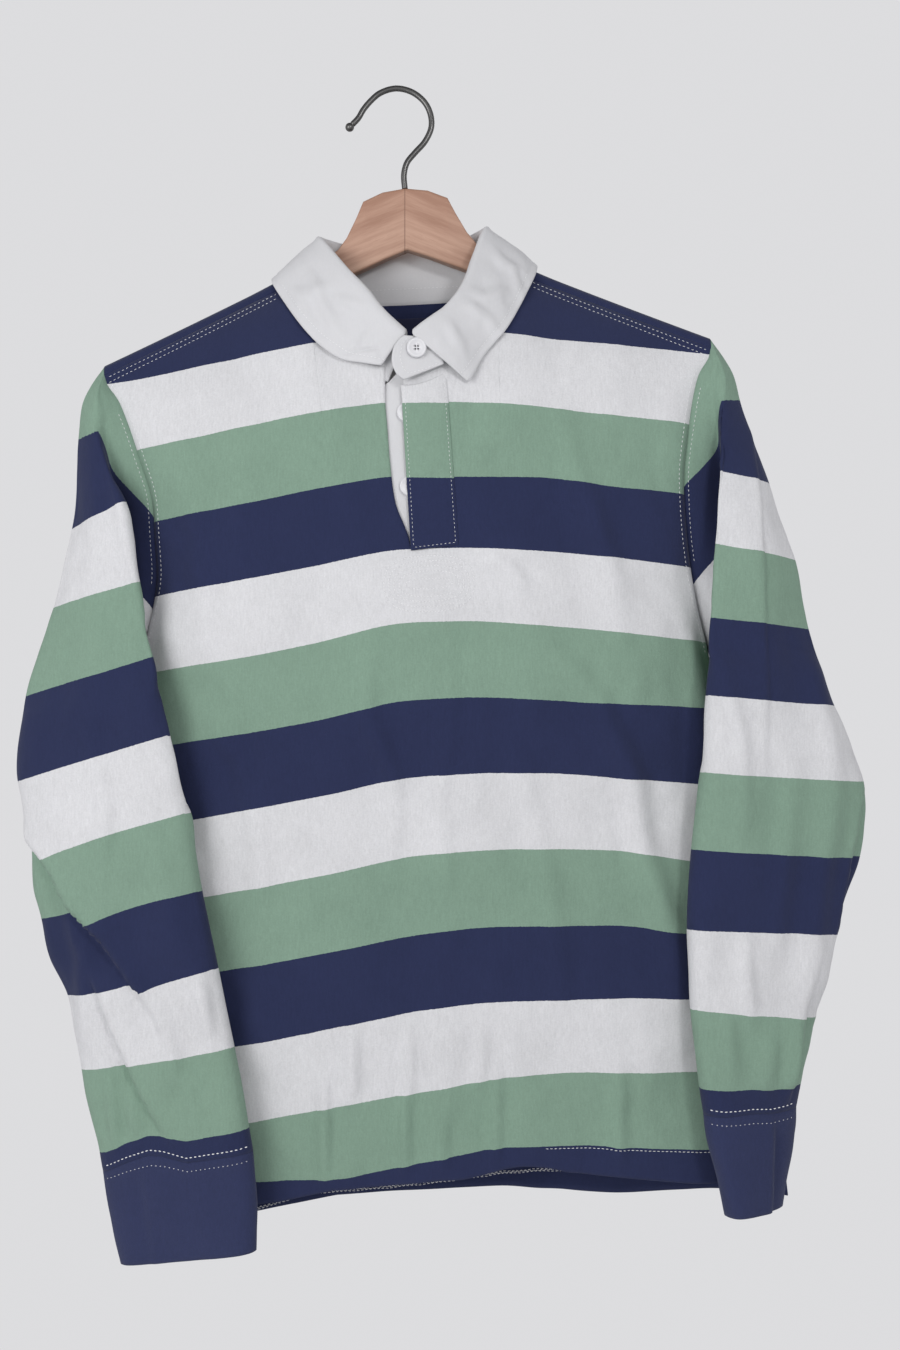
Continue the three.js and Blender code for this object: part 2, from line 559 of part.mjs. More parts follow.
// The section at the cap: from the armhole's front edge into the valley, round the fold and back to the rear edge.
function capRing(row, side, start, end, valley) {
  const t = clamp((start.z + 186) / -90, 0, 1);
  const out = V(side * row.outX, mix(-29, SLEEVE_OUT_Y, t), row.outZ);
  const fold = V(side * row.foldX, mix(-37, SLEEVE_FOLD_Y, t), row.foldZ);
  const deepest = V(Math.max(row.foldX + 6, side * start.x + 4) * side, mix(-34, -20, valley), fold.z);
  const between = start.clone().lerp(fold, 0.55).add(V(0, -2, 0));
  const bottom = between.clone().lerp(deepest, valley);
  const beside = start.clone().lerp(fold, 0.8).add(V(0, -2, 0)).lerp(V(fold.x + 3 * side, fold.y + 9, fold.z), valley);
  const points = [
    start.clone(),
    start.clone().lerp(bottom, 0.5).add(V(0, -1 - valley, 0)),
    bottom,
    beside,
    fold,
  ];
  const bulge = [0.3, 0.75, 1, 0.9, 0.6, 0.3];
  [0.08, 0.26, 0.48, 0.7, 0.86, 0.95].forEach((w, k) => {
    if (k < 6) points.push(fold.clone().lerp(out, w).add(V(0, -7 * t * bulge[k], 0)));
  });
  points.push(out);
  [0.12, 0.35, 0.6, 0.82, 1].forEach((w, k) => {
    const p = out.clone().lerp(end, w);
    points.push(p.add(V(0, [3, 5, 4, 2, 0][k] * t, 0)));
  });
  return points;
}

const CAP_ROWS = ARMPIT_ROW;
const ARMPIT_CLEAR = 2;
function sleeve(side) {
  const { front, back } = armholes[side];
  const half = SEAM_GAP / 2;
  const off = (p) => V(p.x + side * half, p.y, p.z);
  const crest = back.slice(0, CREST_ROWS + 1).map(off);
  // where each column meets the shoulder's arc, which keeps the body's own corners
  const arc = [0, 0.2, 0.45, 0.7, 1, 1.15, 1.3, 1.5, 1.65, 1.8, 1.9, 2, 2.5, 3, 3.5, 3.75, 4];
  const onArc = (w) => {
    const k = Math.min(Math.floor(w), CREST_ROWS - 1);
    return crest[k].clone().lerp(crest[k + 1], w - k);
  };
  const arcNormal = (w) => {
    const list = armholeNormals[side].back;
    const k = Math.min(Math.floor(w), CREST_ROWS - 1);
    return list[k].clone().lerp(list[k + 1], w - k).normalize();
  };
  const rows = [arc.map(onArc)];
  for (let i = 1; i < CAP_ROWS; i++) {
    const valley = clamp((i - 2) / 3, 0, 1);
    rows.push(capRing(SLEEVE[side][i - 1], side, off(front[i]), off(back[CREST_ROWS + i]), valley));
  }
  const pit = V(side * (Math.abs(front[CAP_ROWS].x) + ARMPIT_CLEAR), SIDE_Y, ARMPIT_Z - 1);
  const row9 = SLEEVE[side][CAP_ROWS - 1];
  rows.push(capRing(row9, side, pit.clone().add(V(0, -2, 0)), pit.clone().add(V(0, 2, 0)), 1));
  // the underarm seam slides forward, off the armpit and in front of the body
  const slide = [
    { x: 195, y: -3, z: -396, pull: 0.95 },
    { x: 195, y: -15, z: -412, pull: 0.7 },
    { x: 191, y: -28, z: -440, pull: 0.3 },
  ];
  for (let i = CAP_ROWS; i < SLEEVE[side].length; i++) {
    const ring = hangingRing(SLEEVE[side][i], side, SLEEVE_DEEP);
    const last = ring[SECTION.length - 1].clone().lerp(ring[0], 0.6);
    const s = slide[i - CAP_ROWS];
    if (s) {
      const spot = V(side * s.x, s.y, s.z);
      ring[0] = spot.clone();
      last.copy(spot).add(V(side * 1.5, 3, 0));
      ring[1].lerp(spot.clone().add(V(side * 1.5, -8, 0)), s.pull);
      ring[2].lerp(spot.clone().add(V(side * 0.5, -16, 0)), s.pull);
      ring[15].lerp(spot.clone().add(V(side * 14, 4, 0)), s.pull);
      ring[14].lerp(spot.clone().add(V(side * 32, 2, 0)), s.pull * 0.7);
    }
    rows.push([...ring, last]);
  }
  const lifted = rows.map((row, i) =>
    row.map((p, j) => {
      if (i < 2 || j <= FOLD_COLUMN || j >= OUTER_COLUMN) return p;
      const fade = Math.sin((Math.PI * (j - FOLD_COLUMN)) / (OUTER_COLUMN - FOLD_COLUMN));
      const ends = clamp((rows.length - 1 - i) / 3, 0, 1);
      return p.clone().add(V(0, -foldLift(SLEEVE_FOLDS[side], side * p.x, p.z) * fade * ends, 0));
    }),
  );
  const bottomRow = lifted.length - 1;
  const names = armholeNormals[side];
  const lastColumn = SECTION.length;
  add(side < 0 ? "sleeve_left" : "sleeve_right", wall(lifted, {
    closed: true,
    flip: side > 0,
    keep: (i, j) => j < lastColumn || i >= CAP_ROWS,
    normals: (i, j) => {
      if (i === 0) return arcNormal(arc[j]);
      if (i < CAP_ROWS && j === 0) return names.front[i];
      if (i < CAP_ROWS && j === lastColumn) return names.back[CREST_ROWS + i];
      if (i === bottomRow) return tubeNormal(lifted[i], j, side);
      return null;
    },
  }), STRIPED);
  return lifted[bottomRow];
}

// Across a sleeve's last ring and a cuff's first one, both edges face each other straight down.
function tubeNormal(ring, j, side) {
  const n = ring.length;
  const across = ring[(j + 1) % n].clone().sub(ring[(j + n - 1) % n]);
  return across.cross(V(0, 0, -1)).normalize().multiplyScalar(side > 0 ? -1 : 1);
}

function cuff(side, seam) {
  const rows = [seam.map((p) => p.clone().add(V(0, 0, -SEAM_GAP)))];
  for (const row of CUFF[side].slice(1)) {
    const ring = hangingRing(row, side, CUFF_DEEP);
    rows.push([...ring, ring[SECTION.length - 1].clone().lerp(ring[0], 0.6)]);
  }
  add(side < 0 ? "cuff_left" : "cuff_right", wall(rows, {
    closed: true,
    flip: side > 0,
    normals: (i, j) => (i === 0 ? tubeNormal(seam, j, side) : null),
  }), NAVY);
}
for (const side of [-1, 1]) cuff(side, sleeve(side));

// Collar. turn is the place on the neck seam; foldX, foldY and foldZ are on the fold line; edgeX and edgeZ are on the
// leaf's outer edge, and edgeY its depth where it doesn't follow the front panel.
const COLLAR = [
  { turn: -11, foldX: 0, foldY: -55.5, foldZ: -169.5, edgeX: -16, edgeZ: -190.5 },
  { turn: -20, foldX: -8, foldY: -54.5, foldZ: -161.5, edgeX: -28, edgeZ: -188 },
  { turn: -30, foldX: -15.5, foldY: -52, foldZ: -153, edgeX: -39.8, edgeZ: -185 },
  { turn: -42, foldX: -24, foldY: -47, foldZ: -140.5, edgeX: -48, edgeZ: -180 },
  { turn: -55, foldX: -32.5, foldY: -40, foldZ: -130, edgeX: -57, edgeZ: -172.5 },
  { turn: -68, foldX: -42, foldY: -29, foldZ: -117, edgeX: -68, edgeZ: -159 },
  { turn: -80, foldX: -50, foldY: -18, foldZ: -105, edgeX: -79, edgeY: -24, edgeZ: -141 },
  { turn: -90, foldX: -54.5, foldY: -9, foldZ: -98, edgeX: -86, edgeY: -13, edgeZ: -128 },
  { turn: -102, foldX: -56, foldY: 0, foldZ: -95, edgeX: -88, edgeY: 1, edgeZ: -120.5 },
  { turn: -116, foldX: -52, foldY: 8, foldZ: -95, edgeX: -85, edgeY: 15, edgeZ: -119.5 },
  { turn: -135, foldX: -43, foldY: 13, foldZ: -97, edgeX: -70, edgeY: 21, edgeZ: -130 },
  { turn: -160, foldX: -28, foldY: 16, foldZ: -100, edgeX: -42, edgeY: 21.5, edgeZ: -141 },
  { turn: -176, foldX: -12, foldY: 17.5, foldZ: -102, edgeX: -14, edgeY: 21.5, edgeZ: -149 },
  { turn: 176, foldX: 12, foldY: 17.5, foldZ: -102, edgeX: 14, edgeY: 21.5, edgeZ: -149 },
  { turn: 160, foldX: 28, foldY: 16, foldZ: -100, edgeX: 42, edgeY: 21.5, edgeZ: -141 },
  { turn: 135, foldX: 43, foldY: 13, foldZ: -97, edgeX: 70, edgeY: 21, edgeZ: -130 },
  { turn: 116, foldX: 52, foldY: 8, foldZ: -94, edgeX: 85, edgeY: 15, edgeZ: -119.5 },
  { turn: 102, foldX: 56, foldY: 0, foldZ: -93.5, edgeX: 88.5, edgeY: 1, edgeZ: -120.5 },
  { turn: 90, foldX: 55.5, foldY: -9, foldZ: -96, edgeX: 86.5, edgeY: -13, edgeZ: -128.5 },
  { turn: 80, foldX: 52.5, foldY: -18, foldZ: -104, edgeX: 80.5, edgeY: -24, edgeZ: -141 },
  { turn: 68, foldX: 47, foldY: -28, foldZ: -119, edgeX: 73, edgeZ: -155.5 },
  { turn: 55, foldX: 41, foldY: -38, foldZ: -134, edgeX: 64.5, edgeZ: -169 },
  { turn: 42, foldX: 34.5, foldY: -46, foldZ: -145, edgeX: 56, edgeZ: -178.5 },
  { turn: 30, foldX: 26, foldY: -52, foldZ: -155, edgeX: 49, edgeZ: -187 },
  { turn: 18, foldX: 18, foldY: -56.5, foldZ: -161, edgeX: 44.5, edgeZ: -194 },
  { turn: 8, foldX: 11, foldY: -59, foldZ: -166, edgeX: 41, edgeZ: -199.5 },
  { turn: -2, foldX: 5, foldY: -60, foldZ: -170.5, edgeX: 38.2, edgeZ: -203 },
];
const COLLAR_CLOTH = 1.6;
const FOLD_RADIUS = 2.6;
const LEAF_CLEAR = 3.6; // the leaf's edge stands off the front panel by this much
const NECK_CLEAR = 0.4; // the stand's seam is this far above the panels' edge, and more where three seams meet
const CORNER_CLEAR = 1.4;

const awayAt = (turn) => V(Math.sin(radians(turn)), -Math.cos(radians(turn)), 0);
const foldOf = (p) => V(p.foldX, p.foldY, p.foldZ);
function collarColumn(p) {
  const seam = neckSeam(p.turn);
  const outward = awayAt(p.turn);
  const fold = foldOf(p);
  const inner = fold.clone().addScaledVector(outward, -FOLD_RADIUS).add(V(0, 0, -FOLD_RADIUS));
  const outer = fold.clone().addScaledVector(outward, FOLD_RADIUS).add(V(0, 0, -FOLD_RADIUS));
  const edge = V(p.edgeX, p.edgeY ?? frontAt(p.edgeX, p.edgeZ) - LEAF_CLEAR, p.edgeZ);
  const fall = (w, bulge) => outer.clone().lerp(edge, w).addScaledVector(outward, bulge);
  const corner = CORNER_CLEAR * Math.exp(-(((Math.abs(p.turn) - 90) / 14) ** 2));
  seam.addScaledVector(standUp(p.turn), NECK_CLEAR + corner);
  const onFold = (side) => fold.clone().addScaledVector(outward, (side * SEAM_GAP) / 2);
  return {
    stand: [seam, seam.clone().lerp(inner, 0.33), seam.clone().lerp(inner, 0.67), inner, onFold(-1)],
    leaf: [onFold(1), outer, fall(0.22, 1.2), fall(0.48, 1.8), fall(0.75, 1.2), edge],
  };
}
const collarColumns = COLLAR.map(collarColumn);
const collarRows = (part) => collarColumns[0][part].map((_, i) => collarColumns.map((column) => column[part][i]));

// The stand is sewn to the body along the neck seam and to the leaf along the fold.
const STAND_TOP = 4;
function foldNormal(j) {
  const at = (k) => foldOf(COLLAR[clamp(k, 0, COLLAR.length - 1)]);
  return seamNormal(at(j - 1), at(j + 1), awayAt(COLLAR[j].turn), V(0, 0, 1));
}
const standNormal = (i, j) => (i === 0 ? neckNormal(COLLAR[j].turn) : i === STAND_TOP ? foldNormal(j) : null);
const leafNormal = (i, j) => (i === 0 ? foldNormal(j) : null);
add("collar_stand", wall(collarRows("stand"), { thick: COLLAR_CLOTH, normals: standNormal }), WHITE);
add("collar_leaf", wall(collarRows("leaf"), { thick: COLLAR_CLOTH, normals: leafNormal }), WHITE);

// The collar's front tab, which buttons over the left end of the stand. Rows run from its top to its foot.
const TAB = [
  { z: -174, left: -1, right: 9, rightZ: -175 },
  { z: -176.5, left: -4, right: 12, rightZ: -177 },
  { z: -181, left: -7.3, right: 17, rightZ: -179.5 },
  { z: -189.5, left: -9.1, right: 21, rightZ: -184.5 },
  { z: -197.8, left: -6.6, right: 23, rightZ: -189 },
  { z: -201.6, left: -2.3, right: 23, rightZ: -192 },
];
const tabY = (x) => mix(-63.2, -54.8, clamp((x + 9) / 36, 0, 1));
const tabRows = TAB.map((row) =>
  [0, 0.3, 0.65, 1].map((w) => {
    const x = mix(row.left, row.right, w);
    return V(x, tabY(x), mix(row.z, row.rightZ, w));
  }),
);
add("collar_tab", wall(tabRows), WHITE);

// Buttons: one on the collar's tab, two on the under placket whose edges show in the slit.
const BUTTON_RADIUS = 6.5;
const BUTTON_THICK = 1.8;
function button(name, centre, normal) {
  const turn = new THREE.Quaternion().setFromUnitVectors(Y_AXIS, normal);
  const geometry = new THREE.CylinderGeometry(BUTTON_RADIUS, BUTTON_RADIUS, BUTTON_THICK, 24);
  add(name, geometry.applyQuaternion(turn).translate(centre.x, centre.y, centre.z), BUTTON);
}
const tabFace = V(8.4, -36, 0).normalize();
const onTab = V(6, tabY(6), -184);
button("button_collar", onTab.addScaledVector(tabFace, CLOTH / 2 + LAY_GAP + BUTTON_THICK / 2), tabFace);
[-220, -268].forEach((z, i) => {
  button("button_placket_" + (i + 1), V(-4, frontAt(-4, z) + 2.05, z), V(0, -1, 0));
});

// The blank label inside the back of the neck
const labelRows = [0.006, 0.018, 0.03, 0.042].map((v) =>
  [-19, -6, 8, 22, 32].map((x) => backPoint(x, CREST_ROWS + 1, v).add(V(0, -CLOTH / 2 - LAY_GAP - 0.4, 0))),
);
add("neck_label", wall(labelRows, { thick: 0.8 }), LABEL);

// The hanger's wood: top and bottom of its outline along x, flat-sided, its arms swept forward.
const WOOD_HALF_THICK = 6;
const WOOD_EDGE = 2; // the rounding of its long edges
const WOOD_PROFILE = [
  { x: -190, top: -178.9, bottom: -198 },
  { x: -187, top: -177.5, bottom: -199 },
  { x: -150, top: -160, bottom: -180 },
  { x: -120, top: -145.8, bottom: -165 },
  { x: -95, top: -134, bottom: -151 },
  { x: -80, top: -128.5, bottom: -143 },
  { x: -70, top: -129.5, bottom: -140 },
  { x: -63, top: -129, bottom: -138 },
  { x: -60, top: -121, bottom: -134.5 },
  { x: -56, top: -114.5, bottom: -132.5 },
  { x: -50, top: -109, bottom: -129.5 },
  { x: -43, top: -104.5, bottom: -126 },
  { x: -37, top: -97, bottom: -123 },
  { x: -30, top: -84, bottom: -120 },
  { x: -25, top: -73.5, bottom: -118 },
  { x: -12, top: -68, bottom: -112.5 },
  { x: 3, top: -66, bottom: -107 },
  { x: 18, top: -68, bottom: -112.5 },
  { x: 31, top: -73.5, bottom: -118 },
  { x: 36, top: -84, bottom: -120 },
  { x: 43, top: -97, bottom: -123 },
  { x: 49, top: -104.5, bottom: -126 },
  { x: 54, top: -109, bottom: -128.5 },
  { x: 58, top: -114.5, bottom: -131 },
  { x: 60.5, top: -121, bottom: -134.5 },
  { x: 63, top: -129, bottom: -138 },
  { x: 70, top: -129.5, bottom: -140 },
  { x: 80, top: -128.5, bottom: -143 },
  { x: 95, top: -134, bottom: -151 },
  { x: 120, top: -145.8, bottom: -165 },
  { x: 150, top: -160, bottom: -180 },
  { x: 187, top: -177.5, bottom: -199 },
  { x: 190, top: -178.9, bottom: -198 },
];
const woodRings = WOOD_PROFILE.map(({ x, top, bottom }) => {
  const [y, t, e] = [armY(x), WOOD_HALF_THICK, WOOD_EDGE];
  const corner = (dy, z) => V(x, y + dy, z);
  return [
    corner(-t, bottom + e), corner(-t, top - e), corner(-t + e, top), corner(t - e, top),
    corner(t, top - e), corner(t, bottom + e), corner(t - e, bottom), corner(-t + e, bottom),
  ];
});
add("hanger_wood", loft(woodRings), WOOD);

// The hook: steel wire from its ball end over the top and down into the wood.
const WIRE_RADIUS = 2;
const HOOK_TOP_Z = 2; // the wire's middle above the origin
const HOOK_PATH = [
  { x: -32.3, z: -20.6 },
  { x: -31, z: -21.6 },
  { x: -25.7, z: -16.4 },
  { x: -22.6, z: -11.6 },
  { x: -17.6, z: -6 },
  { x: -10.6, z: -0.6 },
  { x: 0, z: HOOK_TOP_Z },
  { x: 10.4, z: -0.8 },
  { x: 18.4, z: -7.6 },
  { x: 22.2, z: -15.8 },
  { x: 22.4, z: -25 },
  { x: 17.8, z: -34.2 },
  { x: 10.8, z: -41.4 },
  { x: 5.2, z: -47.8 },
  { x: 2.8, z: -55.6 },
  { x: 3, z: -65.5 },
];
const hookCurve = new THREE.CatmullRomCurve3(HOOK_PATH.map((p) => V(p.x, 0, p.z)), false, "centripetal");
const hookRings = [];
const HOOK_STEPS = 64;
for (let k = 0; k <= HOOK_STEPS; k++) {
  const at = hookCurve.getPoint(k / HOOK_STEPS);
  const side = hookCurve.getTangent(k / HOOK_STEPS).cross(Y_AXIS).normalize();
  const ring = [];
  for (let j = 0; j < 10; j++) {
    const a = (j / 10) * 2 * Math.PI;
    ring.push(at.clone().addScaledVector(side, WIRE_RADIUS * Math.cos(a)).add(V(0, WIRE_RADIUS * Math.sin(a), 0)));
  }
  hookRings.push(ring);
}
add("hook", loft(hookRings), STEEL);

shirt.rotation.y = radians(-HANG_TILT_DEG);
export default shirt;
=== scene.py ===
"""A striped rugby shirt on a wooden coat hanger, for Blender 4.5.

Lengths are written in millimetres in the garment's own frame, as if the hanger hung straight: +X to the viewer's right,
-Y to the viewer, +Z up, from the point under the hook's top. on_hanger() tilts them and turns them into metres.
"""
import math

import bpy
import numpy as np
from mathutils import Matrix, Vector, noise
from mathutils.bvhtree import BVHTree


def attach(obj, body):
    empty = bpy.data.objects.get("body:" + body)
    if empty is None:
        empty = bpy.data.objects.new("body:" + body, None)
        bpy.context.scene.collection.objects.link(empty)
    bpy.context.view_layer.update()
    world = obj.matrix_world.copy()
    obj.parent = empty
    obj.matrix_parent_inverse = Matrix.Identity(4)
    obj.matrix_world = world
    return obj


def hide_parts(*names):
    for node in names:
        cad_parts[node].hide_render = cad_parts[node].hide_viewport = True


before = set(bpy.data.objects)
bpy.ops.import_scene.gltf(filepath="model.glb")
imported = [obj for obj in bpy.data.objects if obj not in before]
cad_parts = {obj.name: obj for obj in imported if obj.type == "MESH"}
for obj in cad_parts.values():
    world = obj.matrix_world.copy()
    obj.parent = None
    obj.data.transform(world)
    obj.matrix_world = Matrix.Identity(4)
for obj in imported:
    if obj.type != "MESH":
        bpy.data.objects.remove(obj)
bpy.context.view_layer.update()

# Camera, level with the chest
CAMERA_AT = (0.036, -1.25, -0.389)
eye = bpy.data.cameras.new("camera")
eye.lens = 50
eye.sensor_width = 36
camera = bpy.data.objects.new("camera", eye)
camera.location = CAMERA_AT
camera.rotation_euler = (math.pi / 2, 0, 0)
bpy.context.scene.collection.objects.link(camera)
bpy.context.scene.camera = camera

# Sizes shared with the solids
TILT = math.radians(2.6)
CLOTH = 1.6
SHOULDER_HALF = 198
NECK_HALF = 68
ARMPIT_Z = -385
SIDE_Y = 4
BACK_HEM_Z = -748
SLIT_LEFT, SLIT_RIGHT, SLIT_END = -12, -3, 0.2
SEAM_GAP = 0.3


def mix(a, b, t):
    return a + (b - a) * t


def clamp(x, low=0.0, high=1.0):
    return min(max(x, low), high)


def on_hanger(points):
    """Garment millimetres to metres in the frame of the solids."""
    p = np.asarray(points, float)
    c, s = math.cos(TILT), math.sin(TILT)
    return np.stack([p[..., 0] * c - p[..., 2] * s, p[..., 1], p[..., 0] * s + p[..., 2] * c], -1) / 1000


def rows_of(names, *rows):
    names = names.split()
    return [dict(zip(names, row)) for row in rows]


# The panels, as in the solids

BODY = rows_of(
    "z left right back_half edge back_edge belly",
    (-186, 198, 198, 198, -29, -29, -50),
    (-205, 188, 188, 195, -30, -8, -51),
    (-240, 177, 180, 191, -29, 4, -50),
    (-272, 170, 176, 188, -26, 8, -48),
    (-310, 170, 177, 187, -21, 9, -46),
    (-345, 177, 182, 188, -12, 8, -45),
    (ARMPIT_Z, 191, 191, 191, SIDE_Y, SIDE_Y, -43),
    (-450, 198, 200, 200, SIDE_Y, SIDE_Y, -40),
    (-550, 206, 209, 209, SIDE_Y, SIDE_Y, -37),
    (-650, 211, 218, 218, SIDE_Y, SIDE_Y, -34),
    (BACK_HEM_Z, 214, 228, 228, SIDE_Y, SIDE_Y, -30),
)
BACK_Y = 16
ROUNDING = 2.6
FOLD_NAMES = "top_x top_z foot_x foot_z reach height"
FRONT_FOLDS = rows_of(
    FOLD_NAMES,
    (92, -205, 172, -600, 16, 3.4),
    (50, -300, 150, -660, 13, 2.6),
    (128, -235, 168, -420, 12, 2.2),
    (-42, -320, -58, -560, 14, 3.0),
    (-40, -560, -84, -730, 10, 3.0),
    (6, -590, -14, -728, 9, 3.2),
    (60, -600, 48, -722, 10, 3.0),
    (-128, -215, -120, -360, 18, 2.0),
)
BACK_FOLDS = rows_of(
    FOLD_NAMES,
    (-70, -190, -96, -650, 20, 3.0),
    (20, -180, 8, -560, 22, 2.6),
    (104, -200, 128, -690, 20, 3.2),
    (-10, -480, -30, -748, 14, 2.8),
    (70, -520, 60, -748, 14, 2.6),
)
SLEEVE_FOLDS = {
    -1: rows_of(
        FOLD_NAMES,
        (236, -460, 158, -560, 7, 5),
        (222, -560, 150, -668, 7, 5),
        (212, -420, 226, -640, 12, 3),
        (206, -250, 212, -400, 9, 2.5),
    ),
    1: rows_of(
        FOLD_NAMES,
        (222, -262, 226, -460, 7, 3.5),
        (206, -430, 196, -650, 9, 3.5),
        (258, -460, 226, -660, 9, 4),
    ),
}


def fold_lift(folds, x, z):
    lift = 0.0
    for f in folds:
        t = (f["top_z"] - z) / (f["top_z"] - f["foot_z"])
        if -0.15 <= t <= 1.15:
            away = (x - mix(f["top_x"], f["foot_x"], t)) / f["reach"]
            fade = clamp((t + 0.15) / 0.35) * clamp((1.15 - t) / 0.35)
            lift += f["height"] * fade * math.exp(-away * away)
    return lift


def smooth_along(table, z, column):
    """The value in a column at a height, with smooth steps that never pass beyond the rows' own values."""
    i = next((k for k, row in enumerate(table) if row["z"] <= z), -1)
    if i == 0:
        return table[0][column]
    if i < 0:
        return table[-1][column]
    p0, p1, p2, p3 = (table[min(max(k, 0), len(table) - 1)] for k in (i - 2, i - 1, i, i + 1))
    step = p1["z"] - p2["z"]
    t = (p1["z"] - z) / step

    def slope(a, b, c):
        if (b[column] - a[column]) * (c[column] - b[column]) <= 0:
            return 0
        return (c[column] - a[column]) * step / (a["z"] - c["z"])

    m1, m2 = slope(p0, p1, p2), slope(p1, p2, p3)
    t2, t3 = t * t, t * t * t
    return (2 * t3 - 3 * t2 + 1) * p1[column] + (t3 - 2 * t2 + t) * m1 + (3 * t2 - 2 * t3) * p2[column] + (t3 - t2) * m2


def crest_z(x):
    return -117 - 0.472 * max(abs(x) - NECK_HALF, 0)


def arm_y(x):
    return -20 * (max(abs(x) - 60, 0) / 138) ** 1.5


def shoulder_seam(x):
    return np.array([x, arm_y(x) - 8, crest_z(x) - 7.0])


def neck_seam(turn):
    c, s = math.cos(math.radians(turn)), math.sin(math.radians(turn))
    if c >= 0:
        return np.array([NECK_HALF * s, -8 - 44 * c, -124 - 79 * c**1.3])
    return np.array([NECK_HALF * math.copysign(abs(s) ** 0.35, s), -8 + 22 * (-c) ** 0.7, -124 - 16 * c**4])


def turn_of(sine):
    return math.degrees(math.asin(clamp(sine, -1, 1)))


def front_turn(x):
    return turn_of(x / NECK_HALF)


def back_turn(x):
    return 180 - turn_of(math.copysign(abs(x / NECK_HALF) ** (1 / 0.35), x))


def front_top(x):
    return neck_seam(front_turn(x)) if abs(x) < NECK_HALF else shoulder_seam(x)


def back_top(x):
    return neck_seam(back_turn(x)) if abs(x) < NECK_HALF else shoulder_seam(x)


SHOULDER_Z = shoulder_seam(SHOULDER_HALF)[2]


def edge_z(v, hem):
    return mix(SHOULDER_Z, hem, v)


def round_side(u):
    return max(1 - abs(u) ** ROUNDING, 0) ** (1 / ROUNDING)


# The hems by shares of the half-width, and the slit's left edge by shares of the front's height
FRONT_HEM = ((-1, -0.55, -0.34, 0.05, 0.22, 0.48, 0.78, 1), (-731, -729, -721.5, -717.5, -711, -722, -730, -731))
BACK_HEM = (
    (-1, -0.62, -0.4, -0.1, 0.14, 0.29, 0.56, 0.75, 1),
    (BACK_HEM_Z, -747, -737, -736, -735.5, -739, -744.5, -743, BACK_HEM_Z),
)
SLIT_SHAPE = ((0, 0.03, 0.1, 0.15, 0.185, 0.2), (-14.5, -16, -15.8, -13.6, -9, -4.3))


def soft_line(points, at):
    """A smooth line through points told from left to right."""
    xs, zs = points
    i = min(max(int(np.searchsorted(xs, at)), 1), len(xs) - 1)
    t = clamp((at - xs[i - 1]) / (xs[i] - xs[i - 1]))
    return mix(zs[i - 1], zs[i], t * t * (3 - 2 * t))


def front_hem(u):
    return soft_line(FRONT_HEM, u)


def front_point(top_x, v):
    u = top_x / SHOULDER_HALF
    top = front_top(top_x)
    z = mix(top[2], front_hem(u), v)
    at_edge = edge_z(v, front_hem(1))
    x = u * smooth_along(BODY, at_edge, "left" if u < 0 else "right")
    edge = smooth_along(BODY, at_edge, "edge")
    rounded = round_side(u)
    hang = mix(edge, smooth_along(BODY, z, "belly"), rounded) - fold_lift(FRONT_FOLDS, x, z) * rounded
    ease = mix(10, 36, clamp(abs(top_x) / 80))
    return np.array([x, hang + (top[1] - hang) * math.exp((z - top[2]) / ease), z])


def front_place(x, z):
    """Where a place seen from the front lies on the panel: its column, row and depth."""
    top_x, v = x, 0.2
    for _ in range(8):
        half = smooth_along(BODY, edge_z(v, front_hem(1)), "left" if x < 0 else "right")
        top_x = clamp(x / half * SHOULDER_HALF, -SHOULDER_HALF, SHOULDER_HALF)
        top = front_top(top_x)[2]
        v = clamp((top - z) / (top - front_hem(top_x / SHOULDER_HALF)))
    return top_x, v, front_point(top_x, v)[1]


CREST_PATH = ((0, 0), (2.2, 4.6), (8, 7), (14, 4.6), (16.6, -2))
CREST_ROWS = 4


def back_point(top_x, row, v):
    u = top_x / SHOULDER_HALF
    top = back_top(top_x)
    over = clamp((abs(top_x) - 58) / 9)
    back, up = CREST_PATH[min(row, CREST_ROWS)]
    start = np.array([top[0], top[1] + back * over, top[2] + mix(-1.5 * min(row, CREST_ROWS), up, over)])
    if row <= CREST_ROWS:
        return start
    hem = soft_line(BACK_HEM, u)
    z = mix(start[2], hem, v)
    at_edge = mix(SHOULDER_Z - 2, hem, v)
    half = "back_half" if at_edge > ARMPIT_Z else "left" if u < 0 else "right"
    x = u * smooth_along(BODY, at_edge, half)
    edge = smooth_along(BODY, at_edge, "back_edge")
    rounded = round_side(u)
    hang = mix(edge, BACK_Y, rounded) + fold_lift(BACK_FOLDS, x, z) * rounded
    return np.array([x, hang + (start[1] - hang) * math.exp((z - start[2]) / 10), z])


shoulder_columns = [mix(NECK_HALF, SHOULDER_HALF, math.sin(math.pi / 2 * k / 6)) for k in range(1, 7)]
mirrored = [-x for x in reversed(shoulder_columns)]
NECK_FRONT = [-68, -64, -54, -40, -26, SLIT_LEFT, SLIT_RIGHT, 10, 21, 32, 44, 55, 64, 68]
NECK_BACK = [-68, -67.3, -65.5, -62, -52, -36, -12, 12, 36, 52, 62, 65.5, 67.3, 68]
FRONT_COLUMNS = mirrored + NECK_FRONT + shoulder_columns
BACK_COLUMNS = mirrored + NECK_BACK + shoulder_columns
ARMPIT_ROW = 9
ARMPIT_V = (SHOULDER_Z - ARMPIT_Z) / (SHOULDER_Z - front_hem(1))
FRONT_ROWS = [0, 0.012, 0.03, 0.06, 0.1, 0.15, SLIT_END, 0.25, 0.31, ARMPIT_V]
FRONT_ROWS += [mix(ARMPIT_V, 1, k / 9) for k in range(1, 10)]
back_side_hem = BACK_HEM_Z


def back_v(z):
    return (SHOULDER_Z - 2 - z) / (SHOULDER_Z - 2 - back_side_hem)


